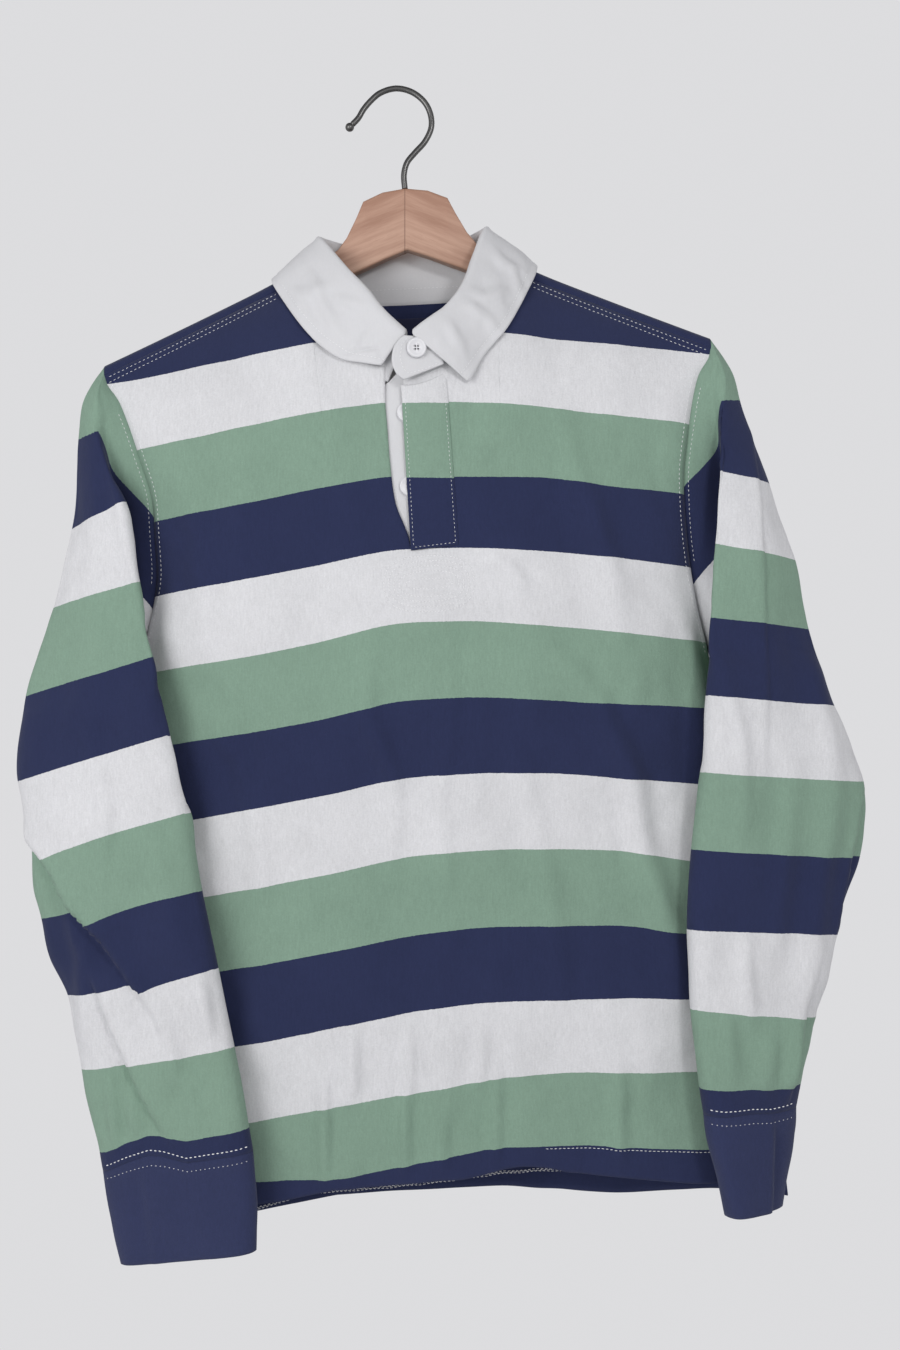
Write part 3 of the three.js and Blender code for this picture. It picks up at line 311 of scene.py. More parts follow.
BACK_ROWS = [0] * 5 + [back_v(edge_z(FRONT_ROWS[k], front_hem(1))) for k in range(1, ARMPIT_ROW + 1)]
BACK_ROWS += [mix(back_v(ARMPIT_Z), 1, k / 8) for k in range(1, 9)]
SLIT_COLUMN = FRONT_COLUMNS.index(SLIT_LEFT)
SLIT_ROW = FRONT_ROWS.index(SLIT_END)


def front_column(x, v):
    return float(np.interp(v, *SLIT_SHAPE)) if x == SLIT_LEFT and v <= SLIT_END else x


front_net = np.array([[front_point(front_column(x, v), v) for x in FRONT_COLUMNS] for v in FRONT_ROWS])
back_net = np.array([[back_point(x, row, v) for x in BACK_COLUMNS] for row, v in enumerate(BACK_ROWS)])
armholes = {
    side: (front_net[: ARMPIT_ROW + 1, 0 if side < 0 else -1],
           back_net[: CREST_ROWS + ARMPIT_ROW + 1, 0 if side < 0 else -1])
    for side in (-1, 1)
}

SLEEVE_NAMES = "out_x out_z fold_x fold_z"
SLEEVE = {
    -1: rows_of(
        SLEEVE_NAMES,
        (206, -192, 203, -202),
        (212, -203, 204, -214),
        (215, -221, 201, -231),
        (218, -246, 195, -252),
        (222, -277, 188, -272),
        (230, -306, 184, -299),
        (237, -333, 180, -324),
        (248, -363, 175, -355),
        (257, -388, 171, -378),
        (262, -411, 167, -398),
        (266, -440, 162, -421),
        (262, -466, 158, -446),
        (259, -494, 153, -471),
        (259, -516, 151, -496),
        (255, -537, 148, -521),
        (251, -562, 144, -546),
        (241, -588, 140, -571),
        (237, -612, 136, -597),
        (233, -636, 132, -622),
        (229, -662, 128, -648),
        (224, -684, 125, -673),
        (222, -699, 123, -689),
    ),
    1: rows_of(
        SLEEVE_NAMES,
        (206, -194, 204, -202),
        (211, -204, 204, -214),
        (215, -222, 201, -229),
        (221, -243, 199, -248),
        (230, -272, 197, -268),
        (238, -301, 194, -296),
        (246, -326, 192, -320),
        (251, -358, 189, -350),
        (256, -383, 186, -376),
        (262, -404, 184, -396),
        (268, -424, 182, -413),
        (277, -448, 180, -436),
        (284, -472, 177, -460),
        (285, -494, 173, -483),
        (281, -521, 169, -509),
        (271, -545, 166, -534),
        (261, -569, 164, -560),
        (253, -596, 164, -585),
        (246, -623, 164, -611),
        (239, -647, 166, -638),
        (233, -668, 168, -662),
        (230, -683, 170, -678),
    ),
}
CUFF = {
    -1: rows_of(SLEEVE_NAMES, (222, -699, 123, -689), (221, -711, 122, -701),
                (217, -737, 122, -727), (212, -764, 124, -753)),
    1: rows_of(SLEEVE_NAMES, (230, -683, 170, -678), (230, -695, 171, -690),
               (225, -720, 176, -717), (219, -745, 182, -745)),
}
SECTION = (
    (-0.9, -0.62), (-0.97, -0.4), (-1, -0.15), (-1, 0.15), (-0.96, 0.5), (-0.86, 0.8), (-0.6, 0.98), (-0.2, 1),
    (0.25, 0.98), (0.68, 0.8), (0.92, 0.45), (1, 0), (0.88, -0.6), (0.5, -0.95), (0, -1), (-0.5, -0.95),
)
OUTER_COLUMN = 11
FOLD_COLUMN = 4
ARC = (0, 0.2, 0.45, 0.7, 1, 1.15, 1.3, 1.5, 1.65, 1.8, 1.9, 2, 2.5, 3, 3.5, 3.75, 4)


def hanging_ring(row, side, deep):
    out = np.array([side * row["out_x"], -24.0, row["out_z"]])
    fold = np.array([side * row["fold_x"], -48.0, row["fold_z"]])
    middle, half = (out + fold) / 2, (out - fold) / 2
    front = np.array([half[1] * side, -abs(half[0]), 0])
    front /= np.linalg.norm(front)
    return [middle + half * a + front * f * deep for a, f in SECTION]


def cap_ring(row, side, start, end, valley):
    t = clamp((start[2] + 186) / -90)
    out = np.array([side * row["out_x"], mix(-29, -24, t), row["out_z"]])
    fold = np.array([side * row["fold_x"], mix(-37, -48, t), row["fold_z"]])
    deepest = np.array([max(row["fold_x"] + 6, side * start[0] + 4) * side, mix(-34, -20, valley), fold[2]])
    back = np.array([0, -2.0, 0])
    bottom = mix(mix(start, fold, 0.55) + back, deepest, valley)
    beside = mix(mix(start, fold, 0.8) + back, np.array([fold[0] + 3 * side, fold[1] + 9, fold[2]]), valley)
    points = [start, mix(start, bottom, 0.5) + np.array([0, -1 - valley, 0]), bottom, beside, fold]
    for w, bulge in zip((0.08, 0.26, 0.48, 0.7, 0.86, 0.95), (0.3, 0.75, 1, 0.9, 0.6, 0.3)):
        points.append(mix(fold, out, w) + np.array([0, -7 * t * bulge, 0]))
    points.append(out)
    for w, bulge in zip((0.12, 0.35, 0.6, 0.82, 1), (3, 5, 4, 2, 0)):
        points.append(mix(out, end, w) + np.array([0, bulge * t, 0]))
    return points


def sleeve_net(side):
    front, back = armholes[side]
    off = np.array([side * SEAM_GAP / 2, 0, 0])
    crest = back[: CREST_ROWS + 1] + off

    def on_arc(w):
        k = min(int(w), CREST_ROWS - 1)
        return mix(crest[k], crest[k + 1], w - k)

    rows = [[on_arc(w) for w in ARC]]
    for i in range(1, ARMPIT_ROW):
        rows.append(cap_ring(SLEEVE[side][i - 1], side, front[i] + off, back[CREST_ROWS + i] + off, clamp((i - 2) / 3)))
    pit = np.array([side * (abs(front[ARMPIT_ROW][0]) + 2), SIDE_Y, ARMPIT_Z - 1.0])
    step = np.array([0, 2.0, 0])
    rows.append(cap_ring(SLEEVE[side][ARMPIT_ROW - 1], side, pit - step, pit + step, 1))
    slide = ((195, -3, -396, 0.95), (195, -15, -412, 0.7), (191, -28, -440, 0.3))
    for i in range(ARMPIT_ROW, len(SLEEVE[side])):
        ring = hanging_ring(SLEEVE[side][i], side, 12)
        last = mix(ring[-1], ring[0], 0.6)
        if i - ARMPIT_ROW < len(slide):
            x, y, z, pull = slide[i - ARMPIT_ROW]
            spot = np.array([side * x, y, z], float)
            ring[0] = spot
            last = spot + np.array([side * 1.5, 3, 0])
            for j, dx, dy, much in ((1, 1.5, -8, 1), (2, 0.5, -16, 1), (15, 14, 4, 1), (14, 32, 2, 0.7)):
                ring[j] = mix(ring[j], spot + np.array([side * dx, dy, 0]), pull * much)
        rows.append(ring + [last])
    net = np.array(rows)
    for i in range(2, len(rows)):
        for j in range(FOLD_COLUMN + 1, OUTER_COLUMN):
            fade = math.sin(math.pi * (j - FOLD_COLUMN) / (OUTER_COLUMN - FOLD_COLUMN))
            ends = clamp((len(rows) - 1 - i) / 3)
            p = net[i, j]
            p[1] -= fold_lift(SLEEVE_FOLDS[side], side * p[0], p[2]) * fade * ends
    return net


def cuff_net(side, seam):
    rows = [seam + np.array([0, 0, -SEAM_GAP])]
    for row in CUFF[side][1:]:
        ring = hanging_ring(row, side, 10)
        rows.append(np.array(ring + [mix(ring[-1], ring[0], 0.6)]))
    return np.array(rows)


COLLAR = rows_of(
    "turn fold_x fold_y fold_z edge_x edge_y edge_z",
    (-11, 0, -55.5, -169.5, -16, None, -190.5),
    (-20, -8, -54.5, -161.5, -28, None, -188),
    (-30, -15.5, -52, -153, -39.8, None, -185),
    (-42, -24, -47, -140.5, -48, None, -180),
    (-55, -32.5, -40, -130, -57, None, -172.5),
    (-68, -42, -29, -117, -68, None, -159),
    (-80, -50, -18, -105, -79, -24, -141),
    (-90, -54.5, -9, -98, -86, -13, -128),
    (-102, -56, 0, -95, -88, 1, -120.5),
    (-116, -52, 8, -95, -85, 15, -119.5),
    (-135, -43, 13, -97, -70, 21, -130),
    (-160, -28, 16, -100, -42, 21.5, -141),
    (-176, -12, 17.5, -102, -14, 21.5, -149),
    (176, 12, 17.5, -102, 14, 21.5, -149),
    (160, 28, 16, -100, 42, 21.5, -141),
    (135, 43, 13, -97, 70, 21, -130),
    (116, 52, 8, -94, 85, 15, -119.5),
    (102, 56, 0, -93.5, 88.5, 1, -120.5),
    (90, 55.5, -9, -96, 86.5, -13, -128.5),
    (80, 52.5, -18, -104, 80.5, -24, -141),
    (68, 47, -28, -119, 73, None, -155.5),
    (55, 41, -38, -134, 64.5, None, -169),
    (42, 34.5, -46, -145, 56, None, -178.5),
    (30, 26, -52, -155, 49, None, -187),
    (18, 18, -56.5, -161, 44.5, None, -194),
    (8, 11, -59, -166, 41, None, -199.5),
    (-2, 5, -60, -170.5, 38.2, None, -203),
)
FOLD_RADIUS = 2.6


def collar_column(p):
    turn = math.radians(p["turn"])
    outward = np.array([math.sin(turn), -math.cos(turn), 0])
    up = np.array([-0.4 * math.sin(turn), 0.12 * math.cos(turn), 1])
    seam = neck_seam(p["turn"]) + up / np.linalg.norm(up) * (0.4 + 1.4 * math.exp(-(((abs(p["turn"]) - 90) / 14) ** 2)))
    fold = np.array([p["fold_x"], p["fold_y"], p["fold_z"]], float)
    drop = np.array([0, 0, -FOLD_RADIUS])
    inner, outer = fold - outward * FOLD_RADIUS + drop, fold + outward * FOLD_RADIUS + drop
    depth = front_place(p["edge_x"], p["edge_z"])[2] - 3.6 if p["edge_y"] is None else p["edge_y"]
    edge = np.array([p["edge_x"], depth, p["edge_z"]])
    fall = [mix(outer, edge, w) + outward * bulge for w, bulge in ((0.22, 1.2), (0.48, 1.8), (0.75, 1.2))]
    return [seam, mix(seam, inner, 0.33), mix(seam, inner, 0.67), inner, fold, outer, *fall, edge]


collar_net = np.array([collar_column(p) for p in COLLAR]).transpose(1, 0, 2)

TAB = ((-174, -1, 9, -175), (-176.5, -4, 12, -177), (-181, -7.3, 17, -179.5), (-189.5, -9.1, 21, -184.5),
       (-197.8, -6.6, 23, -189), (-201.6, -2.3, 23, -192))


def tab_y(x):
    return mix(-63.2, -54.8, clamp((x + 9) / 36))


tab_net = np.array([
    [[mix(left, right, w), tab_y(mix(left, right, w)), mix(z, right_z, w)] for w in (0, 0.3, 0.65, 1)]
    for z, left, right, right_z in TAB
])


def on_front(lines, out):
    """A net on the front panel through given places, each (x, z), moved towards the viewer column by column."""
    return np.array([[[x, front_place(x, z)[2] - o, z] for (x, z), o in zip(line, out)] for line in lines])


# Fine surfaces from the nets


def refine_line(net, steps, closed=False):
    """Smooth points through the net's rows, each span cut into its steps."""
    n = len(net)
    out = []
    for i in range(n if closed else n - 1):
        pick = [net[(i + k) % n] if closed else net[min(max(i + k, 0), n - 1)] for k in (-1, 0, 1, 2)]
        p0, p1, p2, p3 = pick
        d0, d1, d2 = (np.linalg.norm(b - a, axis=-1, keepdims=True) ** 0.5 + 1e-6
                      for a, b in ((p0, p1), (p1, p2), (p2, p3)))
        m1 = (p2 - p1) if not closed and i == 0 else d1 * ((p1 - p0) / d0 - (p2 - p0) / (d0 + d1) + (p2 - p1) / d1)
        m2 = (p2 - p1) if not closed and i == n - 2 else d1 * ((p2 - p1) / d1 - (p3 - p1) / (d1 + d2) + (p3 - p2) / d2)
        for k in range(steps[i] if hasattr(steps, "__len__") else steps):
            t = k / (steps[i] if hasattr(steps, "__len__") else steps)
            t2, t3 = t * t, t * t * t
            out.append((2 * t3 - 3 * t2 + 1) * p1 + (t3 - 2 * t2 + t) * m1 + (3 * t2 - 2 * t3) * p2 + (t3 - t2) * m2)
    if not closed:
        out.append(net[-1])
    return np.array(out)


def refine(net, down, across, closed=False):
    fine = refine_line(net, down)
    return refine_line(fine.transpose(1, 0, 2), across, closed).transpose(1, 0, 2)


def steps_for(net, size, least=2, most=40):
    """How many steps each span of the net's rows needs for cells of about a size."""
    spans = np.linalg.norm(net[1:] - net[:-1], axis=-1).max(axis=1)
    return [int(min(max(round(s / size), least), most)) for s in spans]


def normals_of(net, closed, outward):
    across = np.empty_like(net)
    across[:, 1:-1] = net[:, 2:] - net[:, :-2]
    if closed:
        across[:, 0] = net[:, 1] - net[:, -1]
        across[:, -1] = net[:, 0] - net[:, -2]
    else:
        across[:, 0] = net[:, 1] - net[:, 0]
        across[:, -1] = net[:, -1] - net[:, -2]
    down = np.empty_like(net)
    down[1:-1] = net[2:] - net[:-2]
    down[0] = net[1] - net[0]
    down[-1] = net[-1] - net[-2]
    normal = np.cross(across, down)
    normal /= np.linalg.norm(normal, axis=-1, keepdims=True) + 1e-12
    return normal * outward


def relief(points, layers, seed=0.0):
    """Soft random undulation in millimetres; layers are pairs of size and height."""
    out = np.zeros(points.shape[:2])
    for size, height in layers:
        for index in np.ndindex(out.shape):
            x, y, z = points[index] / size
            out[index] += height * noise.noise(Vector((x + seed, y, z * 0.75 - seed)))
    return out


def creases(points, lines, side=1):
    """Lifts along drawn creases. Each is (height, reach, ((x, z), ...)), strongest in its middle."""
    out = np.zeros(points.shape[:2])
    x, z = points[..., 0] * side, points[..., 2]
    for height, reach, line in lines:
        total = sum(math.dist(a, b) for a, b in zip(line, line[1:]))
        nearest, where = np.full(out.shape, 1e9), np.zeros(out.shape)
        run = 0.0
        for a, b in zip(line, line[1:]):
            length = math.dist(a, b)
            ux, uz = (b[0] - a[0]) / length, (b[1] - a[1]) / length
            t = np.clip((x - a[0]) * ux + (z - a[1]) * uz, 0, length)
            gap = np.hypot(x - a[0] - ux * t, z - a[1] - uz * t)
            closer = gap < nearest
            nearest, where = np.where(closer, gap, nearest), np.where(closer, (run + t) / total, where)
            run += length
        fade = np.sin(np.pi * np.clip(where, 0.03, 0.97)) ** 0.6
        out += height * fade * (np.exp(-((nearest / reach) ** 2)) - 0.35 * np.exp(-((nearest / (2.4 * reach)) ** 2)))
    return out


def shell(name, net, outward=1, thick=CLOTH, closed=False, keep=None, values=None, edge=0.3):
    """A closed cloth wall round a net of middle points, with rounded rims. values are named numbers for each point."""
    m, n = net.shape[:2]
    normal = normals_of(net, closed, outward)
    cells = np.ones((m - 1, n if closed else n - 1), bool)
    if keep is not None:
        cells &= keep
    ids = np.arange(m * n).reshape(m, n)
    right = np.roll(ids, -1, axis=1)
    right = right if closed else right[:, :-1]
    left = ids if closed else ids[:, :-1]
    a, b, c, d = left[:-1][cells], right[:-1][cells], right[1:][cells], left[1:][cells]
    quads = np.stack([a, b, c, d] if outward > 0 else [a, d, c, b], -1)
    flipped = quads[:, ::-1] + m * n
    # rims: every directed edge that no other cell runs back along
    edges = quads[:, [0, 1, 1, 2, 2, 3, 3, 0]].reshape(-1, 2)
    codes = edges[:, 0].astype(np.int64) * (m * n) + edges[:, 1]
    back = edges[:, 1].astype(np.int64) * (m * n) + edges[:, 0]
    lone = edges[~np.isin(codes, back)]
    middle = net.reshape(-1, 3)
    centre = middle[quads].mean(axis=1)
    push = np.zeros_like(middle)
    for k in range(4):
        np.add.at(push, quads[:, k], middle[quads[:, k]] - centre)
    flat_normal = normal.reshape(-1, 3)
    push -= flat_normal * (push * flat_normal).sum(-1, keepdims=True)
    push /= np.linalg.norm(push, axis=-1, keepdims=True) + 1e-9
    rim = np.unique(lone)
    rim_id = np.full(m * n, -1)
    rim_id[rim] = 2 * m * n + np.arange(len(rim))
    points = np.concatenate([
        middle + flat_normal * thick / 2,
        middle - flat_normal * thick / 2,
        middle[rim] + push[rim] * edge,
    ])
    p, q = lone[:, 0], lone[:, 1]
    top = np.stack([q, p, rim_id[p], rim_id[q]], -1)
    bottom = np.stack([rim_id[q], rim_id[p], p + m * n, q + m * n], -1)
    faces = np.concatenate([quads, flipped, top, bottom])
    source = np.concatenate([np.arange(m * n), np.arange(m * n), rim])
    used = np.unique(faces)
    renumber = np.full(len(points), -1)
    renumber[used] = np.arange(len(used))
    mesh = bpy.data.meshes.new(name)
    mesh.vertices.add(len(used))
    mesh.vertices.foreach_set("co", on_hanger(points[used]).astype(np.float32).ravel())
    mesh.loops.add(faces.size)
    mesh.loops.foreach_set("vertex_index", renumber[faces].astype(np.int32).ravel())
    mesh.polygons.add(len(faces))
    mesh.polygons.foreach_set("loop_start", np.arange(0, faces.size, 4, dtype=np.int32))
    mesh.polygons.foreach_set("use_smooth", np.ones(len(faces), bool))
    mesh.update(calc_edges=True)
    for key, value in (values or {}).items():
        layer = mesh.attributes.new(key, "FLOAT", "POINT")
        layer.data.foreach_set("value", value.reshape(-1)[source[used]].astype(np.float32))
    piece = bpy.data.objects.new(name, mesh)
    bpy.context.scene.collection.objects.link(piece)
    return piece


# Stripes: each third is white, green, navy in turn, counted down from the chest's white stripe

FRONT_STRIPES = rows_of(
    "x e0 e1 e2 e3 e4 e5 e6 e7 e8 e9 e10 e11",
    (-185, -191, -236, -284, -332, -381, -430, -481, -532, -582, -632, -684, -716),
    (-146, -184, -231, -279, -327, -376, -425, -476, -527, -577, -627, -679, -715),
    (-113, -179.5, -226, -275, -323, -373, -422, -471, -523, -573, -623, -674, -714.5),
    (-62, -172.5, -218, -267, -316, -365, -415, -464, -515, -565, -614, -665, -714),
    (-16, -169, -214, -261, -308, -355, -405, -455, -506, -558, -607, -660, -705.5),
    (36, -168, -216, -264, -309, -356, -405, -454, -504, -554, -603, -653, -698),
    (88, -175, -221, -266, -314, -362, -410, -457, -506, -556, -604, -651, -699.5),
    (126, -180, -227, -274, -319, -367, -414, -462, -509, -558, -605, -654, -703.5),
    (165, -185, -232, -278, -325, -373, -417, -467, -518, -566, -608, -656, -707),
    (215, -192, -240, -286, -333, -381, -425, -475, -526, -572, -614, -662, -712),
)
EDGE_NAMES = ["e%d" % k for k in range(12)]
STRIPE_X = [row["x"] for row in FRONT_STRIPES]
STRIPE_Z = np.array([[row[k] for k in EDGE_NAMES] for row in FRONT_STRIPES], float)


STRIPE_AT = np.arange(-260.0, 261.0, 2.0)


def softened_edges():
    """The stripes' edges along x, with their corners rounded."""
    kernel = np.exp(-((np.arange(-20, 21) / 7.0) ** 2))
    kernel /= kernel.sum()
    edges = []
    for k in range(12):
        line = np.pad(np.interp(STRIPE_AT, STRIPE_X, STRIPE_Z[:, k]), 20, mode="edge")
        edges.append(np.convolve(line, kernel, mode="valid"))
    return edges


STRIPE_EDGES = softened_edges()


def body_stripes(points):
    """How many stripes lie above each point of the body, with fractions; below the hem's edge it stays navy."""
    x, z = points[..., 0].ravel(), points[..., 2].ravel()
    edges = np.stack([np.interp(x, STRIPE_AT, line) for line in STRIPE_EDGES], -1)
    out = (edges[:, 0] - z) / 49.0
    for k in range(11):
        high, low = edges[:, k], edges[:, k + 1]
        out = np.where(z <= high, k + (high - z) / (high - low), out)
    out = np.where(z <= edges[:, 11], 11 + np.clip((edges[:, 11] - z) / 50, 0, 0.9), out)
    return out.reshape(points.shape[:2])


SLEEVE_STRIPES = {
    -1: rows_of(
        "out fold",
        (-171, -171), (-199, -205), (-226, -223), (-284, -271), (-335, -322), (-392, -370), (-446, -421), (-494, -471),
        (-537, -521), (-588, -571), (-636, -622), (-687, -674), (-740, -725),
    ),
    1: rows_of(
        "out fold",
        (-171, -171), (-190, -198), (-220, -221), (-276, -267), (-326, -314), (-371, -361), (-422, -411), (-472, -460),
        (-521, -509), (-569, -560), (-623, -611), (-667, -661), (-717, -712),
    ),
}

# Materials


def new_group(name, inputs, outputs):
    group = bpy.data.node_groups.new(name, "ShaderNodeTree")
    for direction, sockets in (("INPUT", inputs), ("OUTPUT", outputs)):
        for title, kind, *value in sockets:
            socket = group.interface.new_socket(title, in_out=direction, socket_type="NodeSocket" + kind)
            if value:
                socket.default_value = value[0]
    return group, group.nodes.new("NodeGroupInput"), group.nodes.new("NodeGroupOutput")


def node(tree, kind, settings=None, **links):
    """Adds a node; each link is a number, a colour or another node's output, by input index i0, i1, or by name."""
    made = tree.nodes.new(kind)
    for key, value in (settings or {}).items():
        setattr(made, key, value)
    for key, value in links.items():
        by_number = key[0] == "i" and key[1:].isdigit()
        socket = made.inputs[int(key[1:]) if by_number else key.replace("_", " ")]
        if isinstance(value, bpy.types.NodeSocket):
            tree.links.new(value, socket)
        else:
            socket.default_value = value
    return made


def maths(tree, operation, a, b=0.0, c=0.0):
    return node(tree, "ShaderNodeMath", {"operation": operation}, i0=a, i1=b, i2=c).outputs[0]


def blend(tree, factor, a, b, how="MIX"):
    made = node(tree, "ShaderNodeMix", {"data_type": "RGBA", "blend_type": how}, i0=factor, i6=a, i7=b)
    return made.outputs[2]


def jersey_group():
    """Gives a base colour the surface of a knit: fine ribs, soft mottling and faint upright streaks."""
    group, given, out = new_group(
        "knitted_cloth",
        [("Base", "Color", (0.5, 0.5, 0.5, 1)), ("Rib mm", "Float", 0.9), ("Mottle", "Float", 0.08),
         ("Depth", "Float", 0.3)],
        [("Color", "Color"), ("Roughness", "Float"), ("Height", "Float")],
    )
    t = group
    place = node(t, "ShaderNodeTexCoord").outputs["Object"]
    x, _, z = node(t, "ShaderNodeSeparateXYZ", i0=place).outputs
    size = maths(t, "DIVIDE", 1000 * math.tau, given.outputs["Rib mm"])
    wobble = node(t, "ShaderNodeTexNoise", None, Vector=place, Scale=260.0, Detail=2.0)
    shift = maths(t, "MULTIPLY", wobble.outputs[0], 2.4)
    wales = maths(t, "SINE", maths(t, "ADD", maths(t, "MULTIPLY", x, size), shift))
    courses = maths(t, "SINE", maths(t, "ADD", maths(t, "MULTIPLY", z, maths(t, "MULTIPLY", size, 1.25)), shift))
    knit = maths(t, "MULTIPLY", wales, courses)
    broad = node(t, "ShaderNodeTexNoise", None, Vector=place, Scale=22.0, Detail=3.0, Roughness=0.55).outputs[0]
    fuzz = node(t, "ShaderNodeTexNoise", None, Vector=place, Scale=900.0, Detail=3.0, Roughness=0.7).outputs[0]
    slub = node(t, "ShaderNodeMapping", None, Vector=place, Scale=(950.0, 150.0, 170.0))
    streak = node(t, "ShaderNodeTexNoise", None, Vector=slub.outputs[0], Scale=1.0, Detail=2.0).outputs[0]
    light = maths(t, "ADD", maths(t, "MULTIPLY", maths(t, "SUBTRACT", broad, 0.5), 0.9),
                  maths(t, "MULTIPLY", maths(t, "SUBTRACT", fuzz, 0.5), 1.6))
    light = maths(t, "ADD", light, maths(t, "MULTIPLY", maths(t, "SUBTRACT", streak, 0.5), 1.0))
    light = maths(t, "ADD", light, maths(t, "MULTIPLY", knit, 0.25))
    change = maths(t, "MULTIPLY_ADD", light, given.outputs["Mottle"], 1.0)
    shaded = node(t, "ShaderNodeVectorMath", {"operation": "SCALE"}, i0=given.outputs["Base"])
    t.links.new(change, shaded.inputs["Scale"])
    t.links.new(shaded.outputs[0], out.inputs["Color"])
    t.links.new(maths(t, "MULTIPLY_ADD", fuzz, 0.2, 0.78), out.inputs["Roughness"])
    height = maths(t, "ADD", maths(t, "MULTIPLY", knit, 0.35), maths(t, "MULTIPLY", fuzz, 1.1))
    t.links.new(maths(t, "MULTIPLY", height, given.outputs["Depth"]), out.inputs["Height"])
    return group


KNIT = jersey_group()
WHITE = (0.585, 0.585, 0.6, 1)
GREEN = (0.192, 0.287, 0.222, 1)
NAVY = (0.02, 0.026, 0.07, 1)


def cloth_material(name, base, rib=0.9, mottle=0.1, depth=0.3, striped=False, sheen=0.08):
    material = bpy.data.materials.new(name)
    material.use_nodes = True
    t = material.node_tree
    t.nodes.clear()
    out = t.nodes.new("ShaderNodeOutputMaterial")
    shader = t.nodes.new("ShaderNodeBsdfPrincipled")
    t.links.new(shader.outputs[0], out.inputs[0])
    knit = t.nodes.new("ShaderNodeGroup")
    knit.node_tree = KNIT
    knit.inputs["Rib mm"].default_value = rib
    knit.inputs["Mottle"].default_value = mottle
    knit.inputs["Depth"].default_value = depth
    if striped:
        count = node(t, "ShaderNodeAttribute", {"attribute_name": "stripe"}).outputs["Fac"]
        ragged = node(t, "ShaderNodeTexNoise", None, Scale=700.0, Detail=1.0)
        t.links.new(node(t, "ShaderNodeTexCoord").outputs["Object"], ragged.inputs["Vector"])
        count = maths(t, "ADD", count, maths(t, "MULTIPLY", maths(t, "SUBTRACT", ragged.outputs[0], 0.5), 0.012))
        third = maths(t, "FLOORED_MODULO", count, 3.0)
        past_white = maths(t, "GREATER_THAN", third, 1.0)
        past_green = maths(t, "GREATER_THAN", third, 2.0)
        colour = blend(t, past_white, WHITE, GREEN)
        colour = blend(t, past_green, colour, NAVY)
        t.links.new(colour, knit.inputs["Base"])
    else:
        knit.inputs["Base"].default_value = base
    t.links.new(knit.outputs["Color"], shader.inputs["Base Color"])
    t.links.new(knit.outputs["Roughness"], shader.inputs["Roughness"])
    bump = node(t, "ShaderNodeBump", None, Strength=0.8, Distance=0.0007, Height=knit.outputs["Height"])
    t.links.new(bump.outputs[0], shader.inputs["Normal"])
    shader.inputs["Sheen Weight"].default_value = sheen
    shader.inputs["Sheen Roughness"].default_value = 0.5
    shader.inputs["Specular IOR Level"].default_value = 0.12
    return material


striped_cloth = cloth_material("jersey_in_stripes", None, striped=True, mottle=0.2)
white_cloth = cloth_material("white_twill", WHITE, rib=0.7, mottle=0.05, depth=0.25)
navy_cloth = cloth_material("navy_rib", (0.028, 0.035, 0.088, 1), rib=1.1, mottle=0.22, depth=0.5)
label_cloth = cloth_material("label_satin", (0.02, 0.022, 0.05, 1), rib=0.5, mottle=0.05, depth=0.1, sheen=0.1)


def plain_material(name, base, roughness, metallic=0.0):
    material = bpy.data.materials.new(name)
    material.use_nodes = True
    shader = material.node_tree.nodes["Principled BSDF"]
    shader.inputs["Base Color"].default_value = base
    shader.inputs["Roughness"].default_value = roughness
    shader.inputs["Metallic"].default_value = metallic
    return material, material.node_tree, shader


def wood_material():
    material, t, shader = plain_material("bare_beech", (0.46, 0.28, 0.2, 1), 0.55)
    place = node(t, "ShaderNodeTexCoord").outputs["Object"]
    side = node(t, "ShaderNodeSeparateXYZ", i0=place).outputs[0]
    # the two halves meet in a mitre, so the grain turns at the middle
    mirror = maths(t, "ABSOLUTE", maths(t, "SUBTRACT", side, 0.006))
    along = node(t, "ShaderNodeSeparateXYZ", i0=place)
    turned = maths(t, "ADD", along.outputs[2], maths(t, "MULTIPLY", mirror, 0.42))
    grain_at = node(t, "ShaderNodeCombineXYZ", i0=mirror, i1=along.outputs[1], i2=turned).outputs[0]
    stretched = node(t, "ShaderNodeMapping", None, Vector=grain_at, Scale=(14.0, 90.0, 150.0)).outputs[0]
    rings = node(t, "ShaderNodeTexNoise", None, Vector=stretched, Scale=1.0, Detail=6.0, Roughness=0.6).outputs[0]
    pores_at = node(t, "ShaderNodeMapping", None, Vector=grain_at, Scale=(120.0, 900.0, 2200.0)).outputs[0]
    pores = node(t, "ShaderNodeTexNoise", None, Vector=pores_at, Scale=1.0, Detail=2.0).outputs[0]
    ramp = node(t, "ShaderNodeValToRGB", None, i0=rings)
    ramp.color_ramp.elements[0].position = 0.36
    ramp.color_ramp.elements[0].color = (0.31, 0.165, 0.11, 1)
    ramp.color_ramp.elements[1].position = 0.66
    ramp.color_ramp.elements[1].color = (0.47, 0.29, 0.21, 1)
    fleck = maths(t, "GREATER_THAN", pores, 0.66)
    colour = blend(t, maths(t, "MULTIPLY", fleck, 0.35), ramp.outputs[0], (0.3, 0.15, 0.1, 1))
    joint = maths(t, "LESS_THAN", mirror, 0.0004)
    colour = blend(t, maths(t, "MULTIPLY", joint, 0.6), colour, (0.16, 0.08, 0.05, 1))
    t.links.new(colour, shader.inputs["Base Color"])
    bump = node(t, "ShaderNodeBump", None, Strength=0.25, Distance=0.0003, Height=rings)
    t.links.new(bump.outputs[0], shader.inputs["Normal"])
    return material


